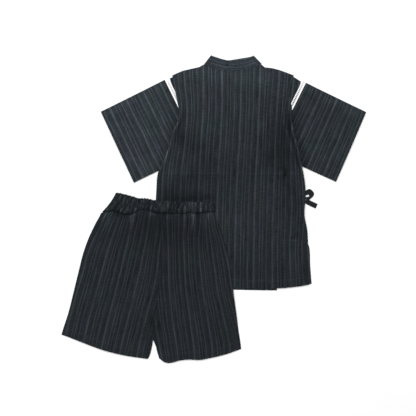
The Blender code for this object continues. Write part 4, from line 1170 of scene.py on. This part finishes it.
def strip_edges(line, width):
    """The two sides of a strip of even width along a line."""
    edges = []
    for i, p in enumerate(line):
        a, b = line[max(i - 1, 0)], line[min(i + 1, len(line) - 1)]
        run = math.hypot(b.across - a.across, b.down - a.down)
        aside = (b.down - a.down) / run * width / 2
        below = -(b.across - a.across) / run * width / 2
        edges.append(Band(p.across - aside, p.down - below, p.across + aside, p.down + below))
    return edges


def tie_piece(name, node, edges, heights, wall, flipped=False, crown=0.3, per=8):
    """A strip of folded cotton between two edges, with soft edges and a slight crown."""
    places = np.linspace(0, len(edges) - 1, (len(edges) - 1) * per + 1)
    keys = range(len(edges))
    sides = [through(keys, [edge[i] for edge in edges])(places)[:, None] for i in range(4)]
    height = through(keys, heights)(places)[:, None]
    t = np.array([0.0, 0.06, 0.16, 0.32, 0.5, 0.68, 0.84, 0.94, 1.0])
    across, down = mix(sides[0], sides[2], t), mix(sides[1], sides[3], t)
    run = run_along(np.hypot(np.diff(across[:, 4]), np.diff(down[:, 4])))[:, None]
    lift = crown * np.sin(np.pi * t) * ease(np.minimum(run, run[-1] - run) / 2.0 + 0.3)
    tone = edge_wear(np.minimum(t, 1 - t) * TIE_WIDTH)
    grid = full_grid(across, down, height + lift, t * TIE_WIDTH, run, tone)
    piece = cloth_piece(name, grid, TOP_LIE, finish_of("dark_tie_cotton"), node, wall, flipped)


def make_knot():
    """The knot: a soft lump with the turns of the tie across it."""
    bm = bmesh.new()
    bmesh.ops.create_cube(bm, size=2.0)
    bmesh.ops.subdivide_edges(bm, edges=bm.edges[:], cuts=17, use_grid_fill=True)
    mesh = bpy.data.meshes.new("bow_knot_cloth")
    laid = []
    for vertex in bm.verts:
        x, y, z = vertex.co
        round_off = (abs(x) ** 3.4 + abs(y) ** 3.4 + abs(z) ** 3.4) ** (-1 / 3.4)
        turns = 0.5 + 0.5 * math.cos(math.pi * 2.4 * (x * 0.8 + y * 0.35) + 0.6)
        size = round_off * (0.93 + 0.07 * turns)
        long, wide, high = x * size * KNOT_LONG, y * size * KNOT_WIDE, (z * size + 1) * KNOT_HIGH
        vertex.co = (long / 2 * MM, wide / 2 * MM, high / 2 * MM)
        # Tone: painted shade in the grooves between the tie's turns
        laid.append((x * 6 + y * 3, y * 6 - x * 3, 0.85 + 0.15 * turns))
    bm.to_mesh(mesh)
    bm.free()
    lay_cloth(mesh, np.array(laid))
    mesh.shade_smooth()
    knot = add_object("bow_knot_cloth", mesh, finish_of("dark_tie_cotton"))
    x, y = set_place(KNOT_ACROSS, KNOT_DOWN, TOP_LIE)
    knot.location = (x * MM, y * MM, 0.0)
    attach(knot, "root")
    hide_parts("bow_knot")


def make_bow():
    """The ties knotted in a bow at the right side, with one loop and one tail out from under the edge."""
    make_knot()
    tie_piece("bow_loop_tie", "bow_loop", BOW_LOOP, BOW_LOOP_HEIGHTS, TIE_WALL, True)
    for name, line, width in (
        ("bow_tail", BOW_TAIL, TAIL_WIDTH),
        ("bow_tail_under", HIDDEN_TAIL, TIE_WIDTH),
        ("tie_from_front", FRONT_TIE, TIE_WIDTH),
        ("tie_from_side", SIDE_TIE, TIE_WIDTH),
    ):
        tie_piece(f"{name}_strip", name, strip_edges(line, width), [0.0] * len(line), TIE_WALL)
    out = strip_edges(HIDDEN_LOOP, TIE_WIDTH)
    start, end, last = HIDDEN_LOOP[0], HIDDEN_LOOP[-1], out[-1]
    run = math.hypot(end.across - start.across, end.down - start.down)
    a, d = (end.across - start.across) / run * BEND, (end.down - start.down) / run * BEND
    tip = Band(last.seam_across + a, last.seam_down + d, last.free_across + a, last.free_down + d)
    loop = out + [tip] + out[::-1]
    heights = [CLOTH] * len(out) + [CLOTH + BEND] + [LAYER] * len(out)
    tie_piece("bow_loop_under_tie", "bow_loop_under", loop, heights, CLOTH, True, crown=0.0, per=1)


def gathers(across, down, seam_down, from_side):
    """Height of the gathers below the waistband and of the leg's fullness, none of it at the leg's side.

    Second comes the tone: painted highlights on the gathers and painted shade in their hollows and in the
    hollows that the band leaves under it.
    """
    below = np.maximum(down - seam_down, 0.0)
    height = 1.2 * np.exp(-below / 12.0)
    folds = np.zeros_like(below + across)
    for g in GATHERS + FINE_GATHERS + HOLLOWS:
        reach = np.minimum(below / g.length, 1.0)
        away = across - (g.across + g.lean * reach)
        stands = (1 - reach) ** 1.5 * np.minimum(0.5 + below / 8.0, 1.0)
        folds += g.height * bell(away, g.width) * stands
    # Painted shade under the band's lower edge, deeper in some places than others, and painted light and
    # shade that follow the gathers' heights
    depth = np.maximum(2.2 + 1.5 * np.sin(across * 0.085 + 1.9) + 1.1 * np.sin(across * 0.29), 0.6)
    dark = 0.5 + 0.25 * np.sin(across * 0.085 + 1.9)
    tone = (1 + 0.38 * np.clip(folds, -2.2, 3.0)) * (1 - dark * bell(below, depth))
    sunk = -1.4 * bell(below, 3.0)
    puff = LEG_PUFF * np.sin(np.pi * from_side) * (1 - np.exp(-below / 60.0))
    return np.maximum(height + folds + puff + sunk, 0.0) * np.minimum(from_side * 8, 1.0), tone


def make_leg(side, face, sizes):
    """One leg's back, turned under at its side and gathered at the waist, or its plain front below."""
    left, back = side == "left", face == "back"
    outer = shorts_left if left else shorts_right
    inner = straight(SHORTS_MIDDLE, "down", side)
    hem_rows = LEFT_HEM if left else RIGHT_HEM
    hem = curve(hem_rows, "across", "down")
    hem_side = hem_rows[0] if left else hem_rows[-1]
    hem_middle = hem_rows[-1] if left else hem_rows[0]
    waist_side = WAIST_SEAM[0] if left else WAIST_SEAM[-1]
    inward = 1 if left else -1
    inset = RIM if back else FRONT_INSET
    middle_down = waist_seam(SHORTS_MIDDLE[0].left) + SEAM
    v = levels(300.0, sizes.mesh_step / MM if back else COARSE)[:, None]
    w = np.linspace(0.0, 1.0, 100 if back else 46)
    if back:
        w = w[1:]
    level = mix(middle_down, hem_middle.down, v)
    edge_down = mix(waist_side.down + SEAM, hem_side.down, v)
    top_across = mix(waist_side.across + inward * inset, SHORTS_MIDDLE[0].left, w)
    seam_down = waist_seam(top_across)
    hem_down = hem(mix(hem_side.across, hem_middle.across, w))
    down = mix(seam_down + 0.25, hem_down, v)
    middle = inner(level)
    across = mix(outer(edge_down) + inward * inset, middle - inward * SEAM / 2, w)
    stripes = left_leg_stripes if left else right_leg_stripes
    node = f"shorts_{face}_{side}"
    finish = finish_of("slub_striped_cotton")
    if not back:
        if not left:
            across, down = across[:, ::-1], down[:, ::-1]
        grid = full_grid(across, down, shorts_height(across, down), *stripes(across, down))
        piece = cloth_piece(f"{node}_cloth", grid, SHORTS_LIE, finish, node)
        return
    from_hem = hem_down - down
    from_seam = np.abs(across - middle)
    seam = 0.45 * bell(from_seam - 4.5, 4.0) * left
    seam = seam - 0.35 * bell(from_seam, 1.0)
    soft = 0.3 * (1 + uneven(across, down, 50.0, 5 if left else 6)) + creased(across, down, LEG_CREASES)
    free = ease(w * 7) * ease((down - seam_down) / 12.0)
    relief = (soft + seam) * free + hem_relief(from_hem, across) * np.minimum(w * 8, 1.0)
    gathered, painted_gather_light = gathers(across, down, seam_down, w)
    lift = LAYER + gathered + np.maximum(relief, -0.2)
    turn = np.array(turned_over())
    edge_inset = np.concatenate([[RIM + SIDE_TUCK, RIM + SIDE_TUCK / 2], turn[:, 0]])
    drop = np.concatenate([[AIR, AIR], turn[:, 1]])
    side_at = outer(edge_down)
    edge_across = side_at + inward * edge_inset
    turned_down = mix(waist_seam(edge_across) + 2 * SEAM, edge_down, ease(v * 30))
    edge = (edge_across, turned_down, shorts_height(side_at, edge_down) + LAYER - drop)
    parts = side_by_side(edge, (across, down, shorts_height(across, down) + lift))
    edge_hem = np.broadcast_to(hem_side.down - edge_down, edge_across.shape)
    hem_away = np.concatenate([edge_hem, from_hem], axis=1)
    painted_gather_light = np.concatenate([np.ones_like(edge_across), painted_gather_light], axis=1)
    if not left:
        parts = [part[:, ::-1] for part in parts]
        hem_away, painted_gather_light = hem_away[:, ::-1], painted_gather_light[:, ::-1]
    across, down, height = parts
    # Painted light and shade from the patches and the gathers, with lighter worn hem edges
    tone = 0.74 * painted_shading(across, down, LEG_SHADING_PATCHES) * edge_wear(hem_away) * painted_gather_light
    grid = full_grid(across, down, height, *stripes(across, down), tone)
    piece = cloth_piece(f"{node}_cloth", grid, SHORTS_LIE, finish, node, even=False)
    count = across.shape[1]
    columns = range(12, count - 3) if left else range(3, count - 12)
    lines = [line_above(grid, hem_away, sizes.hem_depth / MM, columns)]
    stitches = stitch_piece(f"{node}_stitches", lines, SHORTS_LIE, sizes)


def make_waistband(sizes):
    """The elastic waistband: one ring pressed flat, with ruffles above and its seam under the middle."""
    turn = np.array(turned_over(BAND_WALL))
    span = WAIST_SEAM[-1].across - WAIST_SEAM[0].across
    step = sizes.mesh_step / MM
    end = turn[0, 0] / span
    middle = (SHORTS_MIDDLE[0].left - WAIST_SEAM[0].across) / span
    upper = np.linspace(1 - end, end, round(span / step / 0.6))[1:-1]
    low_right, low_left = spaced(middle + 0.002, 1 - end, 0.02)[:-1], spaced(end, middle - 0.002, 0.02)[1:]
    w = np.concatenate([low_right, 1 - turn[:, 0] / span, upper, turn[::-1, 0] / span, low_left])
    right_drop, left_drop = np.full(len(low_right), AIR), np.full(len(low_left), AIR)
    drop = np.concatenate([right_drop, turn[:, 1], np.zeros(len(upper)), turn[::-1, 1], left_drop])
    above = drop < BEND / 2
    t = np.linspace(0.0, 1.0, 22)[:, None]
    top_across = mix(WAIST_TOP[0].across, WAIST_TOP[-1].across, w)
    seam_across = mix(WAIST_SEAM[0].across, WAIST_SEAM[-1].across, w)
    across = mix(top_across, seam_across, t) + BAND_DENT * 4 * t * (1 - t) * np.maximum(1 - w * 6, 0.0)
    spread = w * RUFFLES + 0.45 * np.sin(w * 17.0) + 0.3 * np.sin(w * 41.0)
    frill = 0.7 * np.sin(2 * np.pi * spread) * (1 - t) ** 2
    down = mix(waist_top(top_across), waist_seam(seam_across) - 0.1, t) + frill * above
    share = through([0.0, 0.3, 0.7, 1.0], RUFFLE_SHARES)(t)
    phase = spread + 0.06 * np.sin(t * 5.0 + w * 60.0)
    crest = (0.5 + 0.5 * np.cos(2 * np.pi * phase)) ** 0.6
    fine = 0.18 * np.sin(2 * np.pi * phase * 2.0 + 1.0 + 2.0 * t)
    ruffle = RUFFLE_HEIGHT * (crest + fine) * (0.75 + 0.25 * np.sin(w * 29.0)) * share
    ruffle = ruffle * np.minimum(np.minimum(w * 12, (1 - w) * 12), 1.0)
    height = shorts_height(across, down) + BAND_WALL + AIR - drop + ruffle * above
    weft = np.where(w < middle, left_leg_stripes(across, down)[0], right_leg_stripes(across, down)[0])
    # Painted light on the ruffles: painted highlights on their crests, painted shade in their valleys and
    # along the seam, broad lighter and darker stretches along the band, and the lower layer darker
    lit = 0.24 + 1.15 * crest * (0.6 + 0.5 * uneven(down * 2.0 + w * 90, across, 9.0, 3)) + 0.5 * fine
    seam_shade = 1 - 0.6 * bell((1 - t) * 20.0, 2.2 + 1.2 * np.sin(across * 0.17))
    lit = lit * seam_shade * (1 - 0.3 * bell(w - 0.62, 0.05))
    lit = lit * (1.0 + 0.5 * bell(w - 0.8, 0.07) - 0.3 * bell(w - 0.36, 0.05))
    tone = np.clip(mix(np.full_like(w, 0.7), 0.9 * lit, above), 0.2, 2.4)
    grid = full_grid(across, down, height, weft, down, tone)
    finish = finish_of("slub_striped_cotton")
    piece = cloth_piece("waistband_cloth", grid, SHORTS_LIE, finish, "waistband", BAND_WALL, flipped=True)


def make_floor(looks):
    """A plain white floor with a faint grain."""
    mesh = bpy.data.meshes.new("floor")
    bm = bmesh.new()
    bmesh.ops.create_grid(bm, x_segments=8, y_segments=8, size=3.0)
    for vertex in bm.verts:
        vertex.co.z = -0.2 * MM
    bm.to_mesh(mesh)
    bm.free()
    n = Nodes("white_floor")
    grain = n.add("ShaderNodeTexNoise")
    grain.inputs["Scale"].default_value = 60.0
    specks = n.stretch(grain.outputs[0], 0.3, 0.7, 0.0, 0.03)
    floor_colour = n.blend(specks, (*looks.floor, 1), (0.8, 0.8, 0.8, 1))
    add_object("floor", mesh, n.finish(floor_colour, 0.9, 0.0, 0.1))


def soft_light(name, place, size, power):
    """A round area light that points at the middle of the set."""
    light = bpy.data.lights.new(name, "AREA")
    light.shape = "DISK"
    light.size, light.energy = size, power
    lamp = bpy.data.objects.new(name, light)
    lamp.location = place
    lamp.rotation_euler = (-Vector(place)).to_track_quat("-Z", "Y").to_euler()
    bpy.context.scene.collection.objects.link(lamp)


def make_stage(looks):
    """The floor, the soft light from above, the even light, and the camera straight over the set."""
    scene = bpy.context.scene
    make_floor(looks)
    world = bpy.data.worlds.new("studio")
    world.use_nodes = True
    background = world.node_tree.nodes["Background"]
    background.inputs["Color"].default_value = (1.0, 1.0, 1.0, 1.0)
    background.inputs["Strength"].default_value = looks.fill
    scene.world = world
    soft_light("key", (-0.22, 0.55, 2.6), 2.4, looks.key)
    camera = bpy.data.cameras.new("camera")
    camera.lens, camera.sensor_width = 85.0, 36.0
    camera.clip_start, camera.clip_end = 0.05, 20.0
    over = bpy.data.objects.new("camera", camera)
    over.location = (-12.14 * MM, 2.16 * MM, 2.0665)
    scene.collection.objects.link(over)
    scene.camera = over
    scene.view_settings.view_transform = "Standard"
    scene.view_settings.look = "None"


class JinbeiSizes(PropertyGroup):
    """Sizes that a user may change without moving the pieces."""

    mesh_step: FloatProperty(
        name="Mesh step", description="Size of the cloth's faces", default=0.002, min=0.001, unit="LENGTH"
    )
    hem_depth: FloatProperty(
        name="Hem depth", description="Height of the hems", default=HEM_DEPTH * MM, min=0.005, unit="LENGTH"
    )
    stitch_length: FloatProperty(
        name="Stitch length", description="Length of one stitch", default=0.0022, min=0.001, unit="LENGTH"
    )
    stitch_gap: FloatProperty(
        name="Stitch gap", description="Gap between two stitches", default=0.0009, min=0.0003, unit="LENGTH"
    )
    thread_width: FloatProperty(
        name="Thread width", description="Sewing thread's width", default=0.0005, min=0.0001, unit="LENGTH"
    )
    lace_step: FloatProperty(
        name="Lace step", description="From bar to bar", default=0.0034, min=0.002, unit="LENGTH"
    )
    lace_hole: FloatProperty(
        name="Lace hole", description="Width of the lace's holes", default=0.0026, min=0.0005, unit="LENGTH"
    )


class JinbeiLooks(PropertyGroup):
    """Colours of the yarns and strength of the light."""

    ground: FloatVectorProperty(
        name="Ground", description="Cotton's dark ground", default=(0.0084, 0.0107, 0.0126), subtype="COLOR"
    )
    stripe: FloatVectorProperty(
        name="Stripe", description="Light stripe yarns", default=(0.0222, 0.0272, 0.0308), subtype="COLOR"
    )
    tape: FloatVectorProperty(
        name="Ties", description="Cotton of the ties", default=(0.0068, 0.0078, 0.0090), subtype="COLOR"
    )
    lace: FloatVectorProperty(
        name="Lace", description="Lace thread", default=(0.56, 0.56, 0.56), subtype="COLOR"
    )
    thread: FloatVectorProperty(
        name="Thread", description="Sewing thread", default=(0.0085, 0.0103, 0.0120), subtype="COLOR"
    )
    floor: FloatVectorProperty(
        name="Floor", description="White floor", default=(0.56, 0.56, 0.56), subtype="COLOR"
    )
    key: FloatProperty(
        name="Key light", description="Power of the main light", default=138.0, min=0.0, unit="POWER"
    )
    fill: FloatProperty(name="Fill light", description="Strength of the even light", default=0.4, min=0.0)


class JINBEI_OT_back(Operator):
    """Make the back of the top, with its hem stitches"""

    bl_idname = "jinbei.back"
    bl_label = "Back"

    def execute(self, context):
        make_back(context.scene.jinbei_sizes)
        return {"FINISHED"}


class JINBEI_OT_fronts(Operator):
    """Make the two fronts, which lie crossed under the back"""

    bl_idname = "jinbei.fronts"
    bl_label = "Fronts"

    def execute(self, context):
        for side in ("outer", "inner"):
            make_front(side)
        return {"FINISHED"}


class JINBEI_OT_collar(Operator):
    """Make the collar band"""

    bl_idname = "jinbei.collar"
    bl_label = "Collar"

    def execute(self, context):
        make_collar(context.scene.jinbei_sizes)
        return {"FINISHED"}


class JINBEI_OT_sleeves(Operator):
    """Make both sleeves, with their cuff stitches"""

    bl_idname = "jinbei.sleeves"
    bl_label = "Sleeves"

    def execute(self, context):
        for sleeve in SLEEVES:
            make_sleeve(sleeve, context.scene.jinbei_sizes)
        return {"FINISHED"}


class JINBEI_OT_laces(Operator):
    """Make the ladder laces between sleeves and body"""

    bl_idname = "jinbei.laces"
    bl_label = "Laces"

    def execute(self, context):
        for sleeve in SLEEVES:
            make_lace(sleeve, context.scene.jinbei_sizes)
        return {"FINISHED"}


class JINBEI_OT_bow(Operator):
    """Make the ties and their bow at the side"""

    bl_idname = "jinbei.bow"
    bl_label = "Side bow"

    def execute(self, context):
        make_bow()
        return {"FINISHED"}


class JINBEI_OT_legs(Operator):
    """Make the backs and fronts of the shorts' legs"""

    bl_idname = "jinbei.legs"
    bl_label = "Legs of the shorts"

    def execute(self, context):
        for face in ("front", "back"):
            for side in ("left", "right"):
                make_leg(side, face, context.scene.jinbei_sizes)
        return {"FINISHED"}


class JINBEI_OT_waistband(Operator):
    """Make the ruffled waistband"""

    bl_idname = "jinbei.waistband"
    bl_label = "Waistband"

    def execute(self, context):
        make_waistband(context.scene.jinbei_sizes)
        return {"FINISHED"}


class JINBEI_OT_stage(Operator):
    """Make the floor, the light and the camera"""

    bl_idname = "jinbei.stage"
    bl_label = "Stage"

    def execute(self, context):
        make_stage(context.scene.jinbei_looks)
        return {"FINISHED"}


STEPS = (
    JINBEI_OT_fronts,
    JINBEI_OT_collar,
    JINBEI_OT_sleeves,
    JINBEI_OT_laces,
    JINBEI_OT_bow,
    JINBEI_OT_back,
    JINBEI_OT_legs,
    JINBEI_OT_waistband,
    JINBEI_OT_stage,
)


class JINBEI_PT_panel(Panel):
    """The set's pieces, sizes and colours"""

    bl_idname = "JINBEI_PT_panel"
    bl_label = "Jinbei set"
    bl_space_type = "VIEW_3D"
    bl_region_type = "UI"
    bl_category = "Jinbei"

    def draw(self, context):
        for group in (context.scene.jinbei_sizes, context.scene.jinbei_looks):
            for key in group.__annotations__:
                self.layout.prop(group, key)
        for step in STEPS:
            self.layout.operator(step.bl_idname)


CLASSES = (JinbeiSizes, JinbeiLooks, *STEPS, JINBEI_PT_panel)


def register():
    for made in CLASSES:
        bpy.utils.register_class(made)
    bpy.types.Scene.jinbei_sizes = PointerProperty(type=JinbeiSizes)
    bpy.types.Scene.jinbei_looks = PointerProperty(type=JinbeiLooks)


def unregister():
    del bpy.types.Scene.jinbei_looks
    del bpy.types.Scene.jinbei_sizes
    for made in reversed(CLASSES):
        bpy.utils.unregister_class(made)


def main():
    register()
    for step in STEPS:
        getattr(bpy.ops.jinbei, step.bl_idname.split(".")[1])()
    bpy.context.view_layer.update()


if __name__ == "__main__":
    main()
